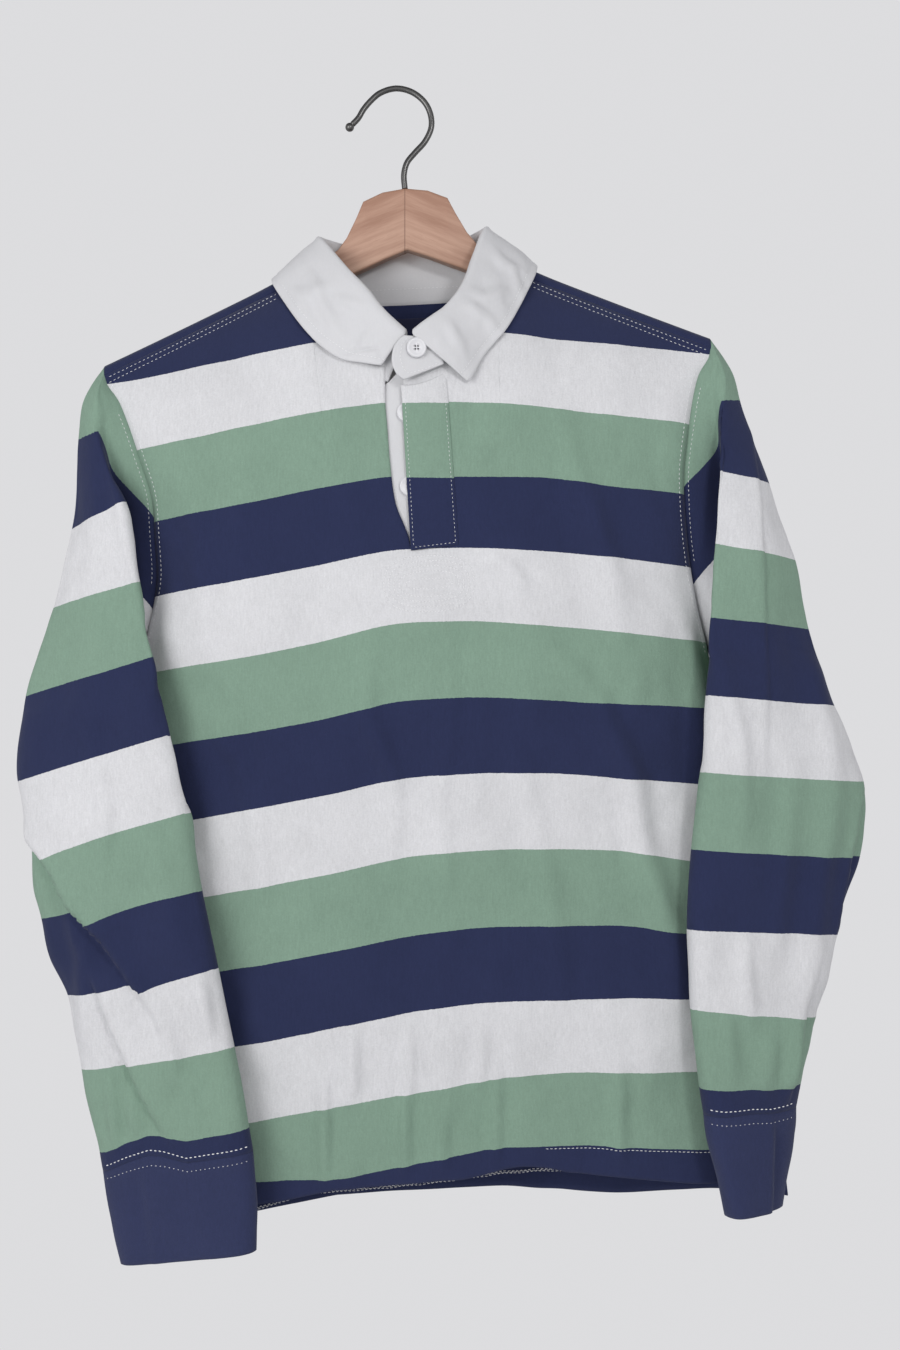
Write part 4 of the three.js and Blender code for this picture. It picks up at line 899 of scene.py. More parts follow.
def steel_material():
    material, t, shader = plain_material("dark_wire", (0.12, 0.12, 0.118, 1), 0.35, 1.0)
    place = node(t, "ShaderNodeTexCoord").outputs["Object"]
    scuffs = node(t, "ShaderNodeTexNoise", None, Vector=place, Scale=60.0, Detail=2.0).outputs[0]
    t.links.new(maths(t, "MULTIPLY_ADD", scuffs, 0.16, 0.26), shader.inputs["Roughness"])
    t.links.new(blend(t, scuffs, (0.07, 0.07, 0.07, 1), (0.14, 0.138, 0.135, 1)), shader.inputs["Base Color"])
    return material


def button_material():
    material, t, shader = plain_material("button_white", (0.72, 0.72, 0.74, 1), 0.35)
    place = node(t, "ShaderNodeTexCoord").outputs["Object"]
    cloud = node(t, "ShaderNodeTexNoise", None, Vector=place, Scale=300.0, Detail=2.0).outputs[0]
    t.links.new(blend(t, cloud, (0.54, 0.54, 0.57, 1), (0.64, 0.64, 0.65, 1)), shader.inputs["Base Color"])
    return material


wood = wood_material()
steel = steel_material()
button_plastic = button_material()
thread_white = cloth_material("thread_white", (0.74, 0.74, 0.75, 1), rib=0.3, mottle=0.05, depth=0.1)


def dress(piece, material, slot, *nodes):
    piece.data.materials.clear()
    piece.data.materials.append(material)
    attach(piece, "root")
    if nodes:
        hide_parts(*nodes)


# The shirt's pieces

FRONT_CREASES = (
    (2.6, 9, ((98, -222), (107, -270), (122, -318), (132, -368))),
    (3.2, 9, ((68, -358), (112, -412), (133, -462), (139, -513), (154, -563), (159, -608))),
    (2.4, 8, ((-33, -361), (-38, -411), (-21, -455), (-26, -520))),
    (1.8, 6, ((44, -316), (58, -322), (72, -340))),
    (2.2, 4, ((-74, -640), (-76, -672), (-79, -724))),
    (2.6, 4, ((-22, -650), (-24, -680), (-26, -716))),
    (2.2, 3.4, ((1, -672), (0, -695), (-2, -712))),
    (2.6, 4, ((37, -640), (35, -676), (33, -712))),
    (2.4, 5, ((117, -650), (115, -680), (114, -716))),
    (2.0, 5, ((-55, -615), (-58, -660))),
    (2.0, 5, ((-18, -618), (-20, -662))),
    (2.0, 5, ((29, -615), (26, -662))),
    (2.2, 7, ((172, -352), (180, -400), (178, -470))),
    (1.8, 10, ((-150, -240), (-138, -300), (-140, -380))),
    (1.5, 9, ((-100, -400), (-112, -520), (-118, -640))),
    (1.6, 9, ((60, -430), (78, -540), (84, -640))),
    (1.6, 7, ((-150, -395), (-120, -440), (-112, -500))),
    (1.4, 6, ((20, -400), (8, -470), (12, -540))),
)
BACK_CREASES = (
    (2.6, 10, ((-120, -230), (-90, -330), (-84, -460))),
    (2.6, 10, ((120, -240), (96, -340), (92, -470))),
    (2.2, 9, ((-40, -430), (-52, -560), (-50, -700))),
    (2.4, 9, ((50, -460), (44, -590), (56, -715))),
    (2.0, 7, ((-160, -420), (-130, -520), (-128, -650))),
    (2.0, 7, ((164, -430), (140, -530), (142, -660))),
)


def from_sides(net, cells):
    """1 inside a net and 0 at its first and last columns."""
    n = net.shape[1]
    column = np.arange(n)
    return np.clip(np.minimum(column, n - 1 - column) / cells, 0, 1)[None, :]


def eased(net, reach):
    """The net with its depths evened out over a reach in mm, worked out on an even grid of heights and widths."""
    step = 2.0
    x, y, z = net[..., 0], net[..., 1], net[..., 2]
    wide = np.arange(x.min() - 6, x.max() + 8, step)
    high = np.arange(z.min() - 6, z.max() + 8, step)
    by_column = [(np.interp(high, cz[::-1], cx[::-1]), np.interp(high, cz[::-1], cy[::-1]))
                 for cx, cy, cz in zip(x.T, y.T, z.T)]
    across, depths = np.array([c[0] for c in by_column]), np.array([c[1] for c in by_column])
    grid = np.array([np.interp(wide, across[:, k], depths[:, k]) for k in range(len(high))])
    half = int(3 * reach / step)
    kernel = np.exp(-((np.arange(-half, half + 1) * step / reach) ** 2))
    kernel /= kernel.sum()
    for _ in range(2):
        grid = np.array([np.convolve(np.pad(line, half, mode="edge"), kernel, mode="valid") for line in grid]).T
    i, j = (z - high[0]) / step, (x - wide[0]) / step
    i0, j0 = np.clip(i.astype(int), 0, len(high) - 2), np.clip(j.astype(int), 0, len(wide) - 2)
    out = net.copy()
    low, up = (mix(grid[i0 + k, j0], grid[i0 + k, j0 + 1], j - j0) for k in (0, 1))
    out[..., 1] = mix(low, up, i - i0)
    return out


def near_placket(points):
    """1 at the placket, fading to 0 a little way from it."""
    x, z = points[..., 0], points[..., 2]
    gap = np.hypot(np.maximum(np.maximum(-20 - x, x - 32), 0), np.maximum(-312 - z, 0))
    return np.clip(1 - gap / 14, 0, 1)


def build_body():
    # the neck's edge runs up a little over the foot of the stand, under the leaves
    raised = front_net.copy()
    for k, x in enumerate(FRONT_COLUMNS):
        if abs(x) < 60:
            high = 9.0 * math.exp(-((x / 46) ** 4))
            raised[0, k] += np.array([0.16 * x / 60 * -high, 0.12 * high - 1.4, high])
            raised[1, k] += np.array([0, -0.5, 0.35 * high])
    down = [4, 3, 5, 7, 8, 9, 9, 9, 10, 8] + [16] * 8
    across = steps_for(front_net.transpose(1, 0, 2), 3.4)
    across[SLIT_COLUMN] = 1
    net = refine(raised, down, across)
    first = sum(across[:SLIT_COLUMN])
    keep = np.ones((net.shape[0] - 1, net.shape[1] - 1), bool)
    keep[: sum(down[:SLIT_ROW]), first] = False
    stripe = body_stripes(net)
    top = np.clip(np.arange(net.shape[0]) / 22.0, 0, 1)[:, None]
    share = np.clip(np.arange(net.shape[0]) / 16.0, 0, 1)[:, None] * from_sides(net, 8)
    net = mix(net, eased(net, 8.0), share[..., None])
    lift = 2.2 * creases(net, FRONT_CREASES) + relief(net, ((70, 3.6), (28, 2.0), (11, 0.8)), 3.1)
    lift *= from_sides(net, 10) * top * (1 - near_placket(net))
    net = net - normals_of(net, False, 1) * lift[..., None]
    piece = shell("front_panel", net, -1, keep=keep, values={"stripe": stripe})
    dress(piece, striped_cloth, "striped_jersey", "front")

    down = [4, 4, 4, 4] + [4, 5, 6, 7, 8, 9, 9, 9, 9] + [12] * 8
    across = steps_for(back_net.transpose(1, 0, 2), 4.0)
    net = refine(back_net, down, across)
    stripe = body_stripes(net)
    top = np.clip((np.arange(net.shape[0]) - 18) / 22.0, 0, 1)[:, None]
    lift = creases(net, BACK_CREASES) + relief(net, ((80, 3.2), (34, 1.2), (12, 0.3)), 9.7)
    net = net + normals_of(net, False, 1) * (lift * from_sides(net, 10) * top)[..., None]
    piece = shell("back_panel", net, 1, values={"stripe": stripe})
    dress(piece, striped_cloth, "striped_jersey", "back")


# Where the sleeves' stripes meet the armhole seams, and where they run into the hollow beside the sleeve's fold
SEAM_STRIPES = {-1: (-171, -214, -281, -341, -384, -408), 1: (-171, -212, -276, -340, -380, -404)}
HOLLOW_STRIPES = {-1: (-171, -205, -237, -322, -372, -405), 1: (-171, -200, -243, -316, -368, -402)}


def sleeve_stripes(net, side):
    """Stripes that run round the sleeve between its inner fold and outer edge, green from the shoulder down."""
    table = SLEEVE_STRIPES[side]
    if side < 0:
        # the elbow's fold shifts the stripes where one layer lies over the other
        net = net + np.array([0, 0, 1.0]) * (overhangs(net, OVERHANGS[side][:1], side)[0] * 1.0)[..., None]
    outs = np.array([row["out"] for row in table], float)
    folds = np.array([row["fold"] for row in table], float)
    x, z = net[..., 0] * side, net[..., 2]
    first, last = x[:, 8 * FOLD_COLUMN], x[:, 8 * OUTER_COLUMN]
    span = np.maximum(last - first, 4)[:, None]
    column = (np.arange(net.shape[1]) / 8.0)[None, :]
    w = np.clip((x - first[:, None]) / span, -0.4, 1.1) * (column >= 3.6)
    near_seam, past_hollow = np.clip(1 - column / 2.2, 0, 1), np.clip((column - 2.2) / 1.4, 0, 1)
    seams, hollows = folds.copy(), folds.copy()
    seams[: len(SEAM_STRIPES[side])] = SEAM_STRIPES[side]
    hollows[: len(HOLLOW_STRIPES[side])] = HOLLOW_STRIPES[side]

    def edge_of(k):
        return mix(mix(hollows[k], seams[k], near_seam), mix(folds[k], outs[k], w), past_hollow)

    phase = np.zeros(x.shape)
    for k in range(len(outs) - 1):
        high, low = edge_of(k), edge_of(k + 1)
        phase = np.where(z <= high, k + (high - z) / (high - low), phase)
    return np.maximum(phase, 1.02)


# Folds where one layer hangs over the next: (height, ((x, z), ...)), told downwards, raised on the body's side
OVERHANGS = {
    -1: (
        (8.0, ((266, -468), (260, -483), (252, -493), (243, -505), (231, -528), (212, -549), (188, -586), (178, -604))),
        (6.0, ((224, -566), (208, -608), (199, -629), (188, -656), (175, -686))),
    ),
    1: (
        (5.5, ((281, -492), (278, -505), (271, -525), (260, -566), (256, -580), (246, -620))),
        (6.0, ((240, -604), (236, -616), (231, -636), (225, -664), (222, -684))),
        (1.3, ((221, -232), (221, -325), (220, -416), (216, -470))),
    ),
}
LEFT_CREASES = (
    (-0.8, 1.6, ((232, -526), (230, -535), (220, -577), (214, -603), (210, -629), (206, -656), (205, -682))),
    (2.5, 7, ((238, -520), (226, -560), (228, -620))),
    (3.0, 7, ((190, -225), (184, -290), (176, -340))),
    (2.0, 6, ((214, -420), (206, -470), (210, -520))),
    (2.0, 5, ((200, -650), (196, -684))),
    (2.2, 4, ((212, -640), (211, -690))),
    (1.8, 5, ((160, -640), (156, -678))),
    (1.8, 8, ((186, -420), (172, -500), (160, -560))),
    (1.8, 4, ((178, -585), (166, -640))),
    (2.2, 5, ((151, -575), (145, -618))),
)
RIGHT_CREASES = (
    (2.4, 6, ((229, -625), (224, -670))),
    (2.4, 5, ((200, -560), (198, -590), (200, -620))),
    (2.4, 7, ((212, -630), (206, -668))),
    (2.6, 8, ((264, -480), (248, -540), (240, -600))),
    (2.0, 7, ((236, -460), (226, -520), (220, -580))),
    (2.0, 6, ((184, -610), (186, -664))),
    (1.8, 8, ((250, -380), (262, -450), (258, -510))),
    (1.6, 5, ((192, -395), (202, -440), (200, -500))),
)
CUFF_FOLDS = {-1: ((1.6, ((196, -684), (190, -770))),), 1: ((4.2, ((214, -668), (213, -690), (208, -760))),)}


def overhangs(points, lines, side, overlap=2.6):
    """Folds that end in a step: their lift, and how far their edge slides out over the layer below, across and down."""
    out = np.zeros(points.shape[:2])
    slide = np.zeros(points.shape)
    x, z = points[..., 0] * side, points[..., 2]
    for height, line in lines:
        lengths = [math.dist(a, b) for a, b in zip(line, line[1:])]
        nearest, signed, where = np.full(out.shape, 1e9), np.zeros(out.shape), np.zeros(out.shape)
        over = np.zeros(points.shape)
        run = 0.0
        for (a, b), length in zip(zip(line, line[1:]), lengths):
            ux, uz = (b[0] - a[0]) / length, (b[1] - a[1]) / length
            t = np.clip((x - a[0]) * ux + (z - a[1]) * uz, 0, length)
            dx, dz = x - a[0] - ux * t, z - a[1] - uz * t
            gap = np.hypot(dx, dz)
            closer = gap < nearest
            nearest = np.where(closer, gap, nearest)
            signed = np.where(closer, gap * np.sign(dx * uz - dz * ux), signed)
            where = np.where(closer, (run + t) / sum(lengths), where)
            over = np.where(closer[..., None], np.array([-uz * side, 0, ux]), over)
            run += length
        fade = np.sin(np.pi * np.clip(where, 0.02, 0.98)) ** 0.5
        raised = np.exp(-np.maximum(signed, 0) / 22)
        sunk = -0.3 * np.exp(np.minimum(signed, 0) / 9)
        share = 1 / (1 + np.exp(-np.clip(signed / 0.7, -30, 30)))
        out += height * fade * mix(sunk, raised, share)
        slide += over * (overlap * fade * share * np.exp(-np.maximum(signed, 0) / 7))[..., None]
    return out, slide


# How far the seam over each cuff rises or sags across the sleeve: (x, rise)
CUFF_WAVES = {
    -1: ((122, -0.3), (150, -0.8), (164, -1.6), (171, 1.0), (180, 4.2), (189, 5.6),
         (205, 1.5), (218, -3.6), (224, -4.2)),
    1: ((182, -1.2), (200, 0.4), (212, -0.4), (226, 1.2), (234, 1.8), (240, -0.6), (248, -1.4)),
}


def waved(side, points):
    """Lets the cloth round the cuff's seam rise and sag with the folds above it."""
    x, z = points[..., 0] * side, points[..., 2]
    foot = SLEEVE[side][-1]
    level = mix(foot["fold_z"], foot["out_z"], np.clip((x - foot["fold_x"]) / (foot["out_x"] - foot["fold_x"]), 0, 1))
    rise = np.interp(x, *zip(*CUFF_WAVES[side])) * np.exp(-(((z - level - 4) / 24) ** 2))
    return points + rise[..., None] * np.array([0, 0, 1.0])


def build_sleeve(side, name, lines):
    net = sleeve_net(side)
    seam = net[-1]
    down = steps_for(net, 2.6, 2, 14)
    fine = refine(net, down, 8, closed=True)
    m, n = fine.shape[:2]
    rows_to_pit = sum(down[:ARMPIT_ROW])
    keep = np.ones((m - 1, n), bool)
    keep[:rows_to_pit, 8 * 16 :] = False
    stripe = sleeve_stripes(fine, side)
    column, row = np.arange(n) / 8.0, np.arange(m)
    front_side = np.clip((column - 2) / 2, 0, 1) * np.clip((OUTER_COLUMN + 0.6 - column) / 1.5, 0, 1)
    back_side = np.clip((column - OUTER_COLUMN) / 1, 0, 1) * np.clip((16 - column) / 1, 0, 1)
    ends = np.clip((row - 14) / 14.0, 0, 1) * np.clip((m - 1 - row) / 8.0, 0, 1)
    stepped, slide = overhangs(fine, OVERHANGS[side], side)
    folded = front_side[None, :] * ends[:, None]
    lift = (2.0 * creases(fine, lines, side) + stepped) * folded
    waves = relief(fine, ((60, 3.0), (24, 1.4), (10, 0.5)), 5.3 * side)
    lift += waves * ends[:, None] * (front_side + back_side)[None, :]
    fine = waved(side, fine + normals_of(fine, True, 1) * (lift * -side)[..., None] + slide * folded[..., None])
    piece = shell(name + "_cloth", fine, -side, closed=True, keep=keep, values={"stripe": stripe})
    dress(piece, striped_cloth, "striped_jersey", name)

    fine = refine(cuff_net(side, seam), (4, 9, 9), 8, closed=True)
    stepped = overhangs(fine, CUFF_FOLDS[side], side)[0]
    lift = relief(fine, ((40, 1.8), (16, 0.7)), 2.7 * side) + stepped * front_side[None, :]
    lift *= np.clip(np.arange(fine.shape[0]) / 6.0, 0, 1)[:, None]
    fine = waved(side, fine + normals_of(fine, True, 1) * (lift * -side)[..., None])
    cuff_name = name.replace("sleeve", "cuff")
    piece = shell(cuff_name + "_cloth", fine, -side, closed=True, edge=0.6)
    dress(piece, navy_cloth, "navy_jersey", cuff_name)


COLLAR_CREASES = (
    (1.0, 4, ((-62, -118), (-52, -150), (-38, -176))),
    (0.9, 5, ((-74, -130), (-62, -162))),
    (0.9, 3, ((-22, -166), (-30, -182))),
    (1.2, 4, ((56, -108), (66, -124), (82, -128))),
    (1.0, 4, ((34, -150), (52, -162), (60, -174))),
    (0.8, 4, ((24, -160), (36, -186))),
    (0.7, 3, ((68, -118), (76, -146))),
    (-0.9, 1.4, ((-42, -181), (-28, -180.5), (-18, -180), (-15, -187.5))),
    (1.1, 4, ((-44, -143), (-34, -149), (-20, -154))),
    (1.2, 4, ((35, -142), (52, -148.5), (70, -141))),
    (0.8, 5, ((-72, -136), (-60, -139), (-46, -133))),
)


def build_collar():
    fine = refine(collar_net, (4, 4, 4, 4, 4, 6, 7, 7, 7), 7)
    row = np.arange(fine.shape[0])
    fall = np.clip((row - 20) / 8.0, 0, 1)[:, None]
    stand = np.clip(row / 4.0, 0, 1)[:, None] * np.clip((16 - row) / 4.0, 0, 1)[:, None]
    front = np.clip((-fine[..., 1] - 14) / 10, 0, 1)
    waves = relief(fine, ((32, 2.2), (13, 0.9), (6, 0.3)), 7.7)
    lift = waves * fall + 2.4 * creases(fine, COLLAR_CREASES) * fall * front
    lift += relief(fine, ((20, 0.7), (9, 0.3)), 1.9) * stand
    # a stitched groove near the leaf's edge, and the left leaf's tip curled up
    from_edge = row.max() - row
    lift -= 0.35 * np.exp(-(((from_edge - 3.5) / 0.9) ** 2))[:, None]
    curl = np.exp(-(((fine[..., 0] + 22) / 12) ** 2) - ((fine[..., 2] + 189) / 9) ** 2) * front * fall
    lift += 3.0 * curl
    fine = fine + normals_of(fine, False, 1) * lift[..., None]
    piece = shell("collar_cloth", fine, 1, edge=0.5)
    dress(piece, white_cloth, "white_cotton", "collar_stand", "collar_leaf")
    fine = refine(tab_net, 5, 8)
    piece = shell("collar_tab_cloth", fine, -1, edge=0.5)
    dress(piece, white_cloth, "white_cotton", "collar_tab")


PUCKERS = (
    (0.9, 2.6, ((2, -236), (14, -240), (24, -237))),
    (1.2, 2.8, ((4, -262), (13, -256), (25, -262))),
    (0.9, 2.6, ((0, -276), (12, -281), (26, -278))),
    (0.8, 2.4, ((4, -212), (12, -219), (20, -216))),
    (0.8, 2.6, ((6, -292), (16, -297), (26, -295))),
)


def build_placket():
    lines = []
    for t in (0, 0.08, 0.25, 0.45, 0.65, 0.85, 1):
        left, right = mix(-4.2, -2.8, t), mix(24.5, 27.5, t)
        line = []
        for w in (0, 0.2, 0.5, 0.8, 1):
            x = mix(left, right, w)
            line.append((x, mix(front_top(x / 0.9)[2] - 1.5, -309 + 2.3 * w, t)))
        lines.append(line)
    fine = refine(on_front(lines, (2.0, 1.9, 1.7, 1.3, 0.7)), 12, 7)
    inside = from_sides(fine, 3) * np.clip(np.arange(fine.shape[0]) / 6.0, 0, 1)[:, None]
    lift = relief(fine, ((22, 0.7), (9, 0.35), (5, 0.15)), 1.3) + creases(fine, PUCKERS)
    moved = fine.copy()
    moved[..., 1] -= np.maximum(lift + 0.3, 0) * inside
    piece = shell("over_placket_cloth", moved, -1, thick=1.2, values={"stripe": body_stripes(fine) - 0.02}, edge=0.4)
    dress(piece, striped_cloth, "striped_jersey", "over_placket")
    tops = (-206, -200, -193, -191, -191)
    lines = [[(x, top if z is None else z) for x, top in zip((-19, -11, -3, 5, 13), tops)]
             for z in (None, -212, -235, -260, -285, -311)]
    piece = shell("under_placket_cloth", refine(on_front(lines, (-1.5,) * 5), 10, 5), -1, thick=1.2)
    dress(piece, white_cloth, "white_cotton", "under_placket")


def build_label():
    net = np.array([[back_point(x, CREST_ROWS + 1, v) + np.array([0, -1.7, 0]) for x in (-19, -6, 8, 22, 32)]
                    for v in (0.006, 0.018, 0.03, 0.042)])
    piece = shell("neck_label_cloth", refine(net, 5, 5), 1, thick=0.8)
    dress(piece, label_cloth, "label_cloth", "neck_label")


# Round and lofted pieces


def closed_rings(name, rings, material, slot, replaced):
    """A smooth solid through rings of points, its ends closed by a point in each end ring's middle."""
    rings = np.asarray(rings, float)
    m, n = rings.shape[:2]
    points = np.concatenate([rings.reshape(-1, 3), [rings[0].mean(axis=0), rings[-1].mean(axis=0)]])
    faces = []
    for i in range(m - 1):
        for j in range(n):
            k = (j + 1) % n
            faces.append((i * n + j, i * n + k, (i + 1) * n + k, (i + 1) * n + j))
    faces += [(m * n, (j + 1) % n, j) for j in range(n)]
    faces += [(m * n + 1, (m - 1) * n + j, (m - 1) * n + (j + 1) % n) for j in range(n)]
    a, b, c = (points[k] for k in faces[0][:3])
    inward = np.dot(np.cross(b - a, c - a), a - rings[:2].reshape(-1, 3).mean(axis=0)) < 0
    if inward:
        faces = [f[::-1] for f in faces]
    mesh = bpy.data.meshes.new(name)
    mesh.from_pydata(on_hanger(points).tolist(), [], faces)
    mesh.polygons.foreach_set("use_smooth", [True] * len(faces))
    piece = bpy.data.objects.new(name, mesh)
    bpy.context.scene.collection.objects.link(piece)
    dress(piece, material, slot, replaced)
    return piece


WOOD = (
    (-190, -178.9, -198), (-187, -177.5, -199), (-150, -160, -180), (-120, -145.8, -165), (-95, -134, -151),
    (-80, -128.5, -143), (-70, -129.5, -140), (-63, -129, -138), (-60, -121, -134.5), (-56, -114.5, -132.5),
    (-50, -109, -129.5), (-43, -104.5, -126), (-37, -97, -123), (-30, -84, -120), (-25, -73.5, -118),
    (-12, -68, -112.5), (3, -66, -107), (18, -68, -112.5), (31, -73.5, -118), (36, -84, -120), (43, -97, -123),
    (49, -104.5, -126), (54, -109, -128.5), (58, -114.5, -131), (60.5, -121, -134.5), (63, -129, -138),
    (70, -129.5, -140), (80, -128.5, -143), (95, -134, -151), (120, -145.8, -165), (150, -160, -180),
    (187, -177.5, -199), (190, -178.9, -198),
)


def build_wood():
    half, edge = 6.0, 2.0
    xs, tops, bottoms = (np.array(column, float) for column in zip(*WOOD))
    rings = []
    for x in sorted(set(np.round(np.concatenate([np.arange(-190, 190.1, 2.0), xs]), 3))):
        top, bottom = np.interp(x, xs, tops), np.interp(x, xs, bottoms)
        shrink = 1 - 0.35 * max(abs(x) - 186, 0) / 4
        ring = []
        for sy, sz, start in ((1, 1, 0), (-1, 1, 90), (-1, -1, 180), (1, -1, 270)):
            for k in range(5):
                a = math.radians(start + 90 * k / 4)
                y = sy * (half - edge) + edge * math.cos(a)
                z = (top - edge if sz > 0 else bottom + edge) + edge * math.sin(a)
                ring.append((x, arm_y(x) + y * shrink, z))
        rings.append(ring)
    closed_rings("hanger_wood_fine", rings, wood, "bare_wood", "hanger_wood")


HOOK = (
    (-31, -21.6), (-25.7, -16.4), (-22.6, -11.6), (-17.6, -6), (-10.6, -0.6), (0, 2), (10.4, -0.8), (18.4, -7.6),
    (22.2, -15.8), (22.4, -25), (17.8, -34.2), (10.8, -41.4), (5.2, -47.8), (2.8, -55.6), (3, -65.5),
)


def build_hook():
    path = np.array([(x, 0, z) for x, z in HOOK], float)
    fine = refine_line(path, 10)
    rings, way = [], np.gradient(fine, axis=0)
    way /= np.linalg.norm(way, axis=1, keepdims=True)
    ball = 3.0
    for k in range(9):
        a = math.pi * (0.04 + 0.78 * k / 8)
        rings.append((fine[0] + way[0] * (-ball * math.cos(a) - ball * 0.4), way[0], ball * math.sin(a)))
    rings += [(p, w, 2.0) for p, w in zip(fine[2:], way[2:])]
    turned = []
    for p, w, r in rings:
        side = np.array([w[2], 0, -w[0]])
        turned.append([p + side * r * math.cos(a) + np.array([0, r * math.sin(a), 0])
                       for a in np.linspace(0, math.tau, 20, endpoint=False)])
    closed_rings("hook_fine", turned, steel, "dark_steel", "hook")


def build_button(name, centre, normal):
    """A pressed button with a raised rim and four holes."""
    profile = ((0.01, 0.75), (3.1, 0.8), (4.4, 1.0), (5.2, 1.25), (5.9, 1.2), (6.4, 0.7),
               (6.5, 0.1), (6.3, -0.6), (5.6, -1.0), (0.01, -1.0))
    out = Vector(normal).normalized()
    turn = out.to_track_quat("Z", "X").to_matrix()
    rings = [[Vector(centre) + turn @ Vector((r * math.cos(a), r * math.sin(a), h))
              for a in np.linspace(0, math.tau, 32, endpoint=False)]
             for r, h in profile]
    piece = closed_rings(name + "_fine", rings, button_plastic, "button_plastic", name)
    cutters = bpy.data.meshes.new("holes")
    points, faces = [], []
    for k in range(4):
        mx, mz = 1.25 * math.cos(math.radians(45 + 90 * k)), 1.25 * math.sin(math.radians(45 + 90 * k))
        base = len(points)
        for h in (-3, 3):
            for a in np.linspace(0, math.tau, 12, endpoint=False):
                p = Vector(centre) + turn @ Vector((mx + 0.62 * math.cos(a), mz + 0.62 * math.sin(a), h))
                points.append(tuple(on_hanger(np.array(p))))
        faces += [tuple(base + 11 - j for j in range(12)), tuple(base + 12 + j for j in range(12))]
        faces += [(base + j, base + (j + 1) % 12, base + 12 + (j + 1) % 12, base + 12 + j) for j in range(12)]
    cutters.from_pydata(points, [], faces)
    holes = bpy.data.objects.new("holes", cutters)
    bpy.context.scene.collection.objects.link(holes)
    cut = piece.modifiers.new("cut", "BOOLEAN")
    cut.operation = "DIFFERENCE"
    cut.solver = "EXACT"
    cut.object = holes
    seen = piece.evaluated_get(bpy.context.evaluated_depsgraph_get())
    baked = bpy.data.meshes.new_from_object(seen)
    piece.modifiers.remove(cut)
    piece.data = baked
    bpy.data.objects.remove(holes)


build_body()
build_sleeve(-1, "sleeve_left", LEFT_CREASES)
build_sleeve(1, "sleeve_right", RIGHT_CREASES)
build_collar()
build_placket()
build_label()
build_wood()
build_hook()
tab_out = Vector((8.4, -36, 0)).normalized()
build_button("button_collar", Vector((6, tab_y(6), -182)) + tab_out * 2.4, tab_out)
for number, (x, z) in enumerate(((-1.6, -221), (-2.0, -268)), 1):
    build_button("button_placket_%d" % number, (x, front_place(x, z)[2] - 0.2, z), (0, -1, 0))

# Stitching: places found by looking at the finished cloth, then one small stitch set on each


def stitch_tree():
    tree = bpy.data.node_groups.new("stitching", "GeometryNodeTree")
    tree.interface.new_socket("Places", in_out="INPUT", socket_type="NodeSocketGeometry")
    sizes = (("Length", "Float", 0.002), ("Width", "Float", 0.0006), ("Unevenness", "Float", 0.1), ("Seed", "Int", 0))
    for title, kind, default in sizes:
        tree.interface.new_socket(title, in_out="INPUT", socket_type="NodeSocket" + kind).default_value = default
    tree.interface.new_socket("Thread", in_out="INPUT", socket_type="NodeSocketMaterial")
    tree.interface.new_socket("Stitches", in_out="OUTPUT", socket_type="NodeSocketGeometry")
    given, out = tree.nodes.new("NodeGroupInput"), tree.nodes.new("NodeGroupOutput")

    def add(kind, settings=None, **links):
        return node(tree, kind, settings, **links)

    bead = add("GeometryNodeMeshUVSphere", None, Segments=8, Rings=6, Radius=0.5)
    along = add("GeometryNodeInputNamedAttribute", {"data_type": "FLOAT_VECTOR"}, Name="along").outputs[0]
    out_way = add("GeometryNodeInputNamedAttribute", {"data_type": "FLOAT_VECTOR"}, Name="outward").outputs[0]
    shake = add("FunctionNodeRandomValue", {"data_type": "FLOAT_VECTOR"}, Seed=given.outputs["Seed"])
    shake.inputs[0].default_value = (-1, -1, -1)
    shake.inputs[1].default_value = (1, 1, 1)
    moved = add("ShaderNodeVectorMath", {"operation": "SCALE"}, i0=shake.outputs[0])
    tree.links.new(given.outputs["Unevenness"], moved.inputs["Scale"])
    way = add("ShaderNodeVectorMath", {"operation": "ADD"}, i0=along, i1=moved.outputs[0])
    axes = {"primary_axis": "X", "secondary_axis": "Z"}
    turn = add("FunctionNodeAxesToRotation", axes, i0=way.outputs[0], i1=out_way)
    wide = given.outputs["Width"]
    size = add("ShaderNodeCombineXYZ", None, i0=given.outputs["Length"], i1=wide, i2=wide)
    placed = add("GeometryNodeInstanceOnPoints", None, Points=given.outputs["Places"], Instance=bead.outputs[0],
                 Rotation=turn.outputs[0], Scale=size.outputs[0])
    real = add("GeometryNodeRealizeInstances", None, i0=placed.outputs[0])
    done = add("GeometryNodeSetMaterial", None, Geometry=real.outputs[0], Material=given.outputs["Thread"])
    tree.links.new(done.outputs[0], out.inputs[0])
    return tree


STITCHES = stitch_tree()


def cloth_tree(*names):
    """A search tree over the finished surfaces of some pieces, in metres."""
    points, faces = [], []
    for name in names:
        mesh = bpy.data.objects[name].data
        first = len(points)
        points += [v.co.copy() for v in mesh.vertices]
        faces += [tuple(first + k for k in polygon.vertices) for polygon in mesh.polygons]
    return BVHTree.FromPolygons(points, faces)


def spaced(line, gap):
    """Points along a line of places, evenly spaced."""
    line = np.asarray(line, float)
    run = np.concatenate([[0], np.cumsum(np.linalg.norm(line[1:] - line[:-1], axis=1))])
    at = np.arange(gap / 2, run[-1], gap)
    return np.stack([np.interp(at, run, line[:, k]) for k in range(line.shape[1])], -1)


STITCH_RISE = 0.1


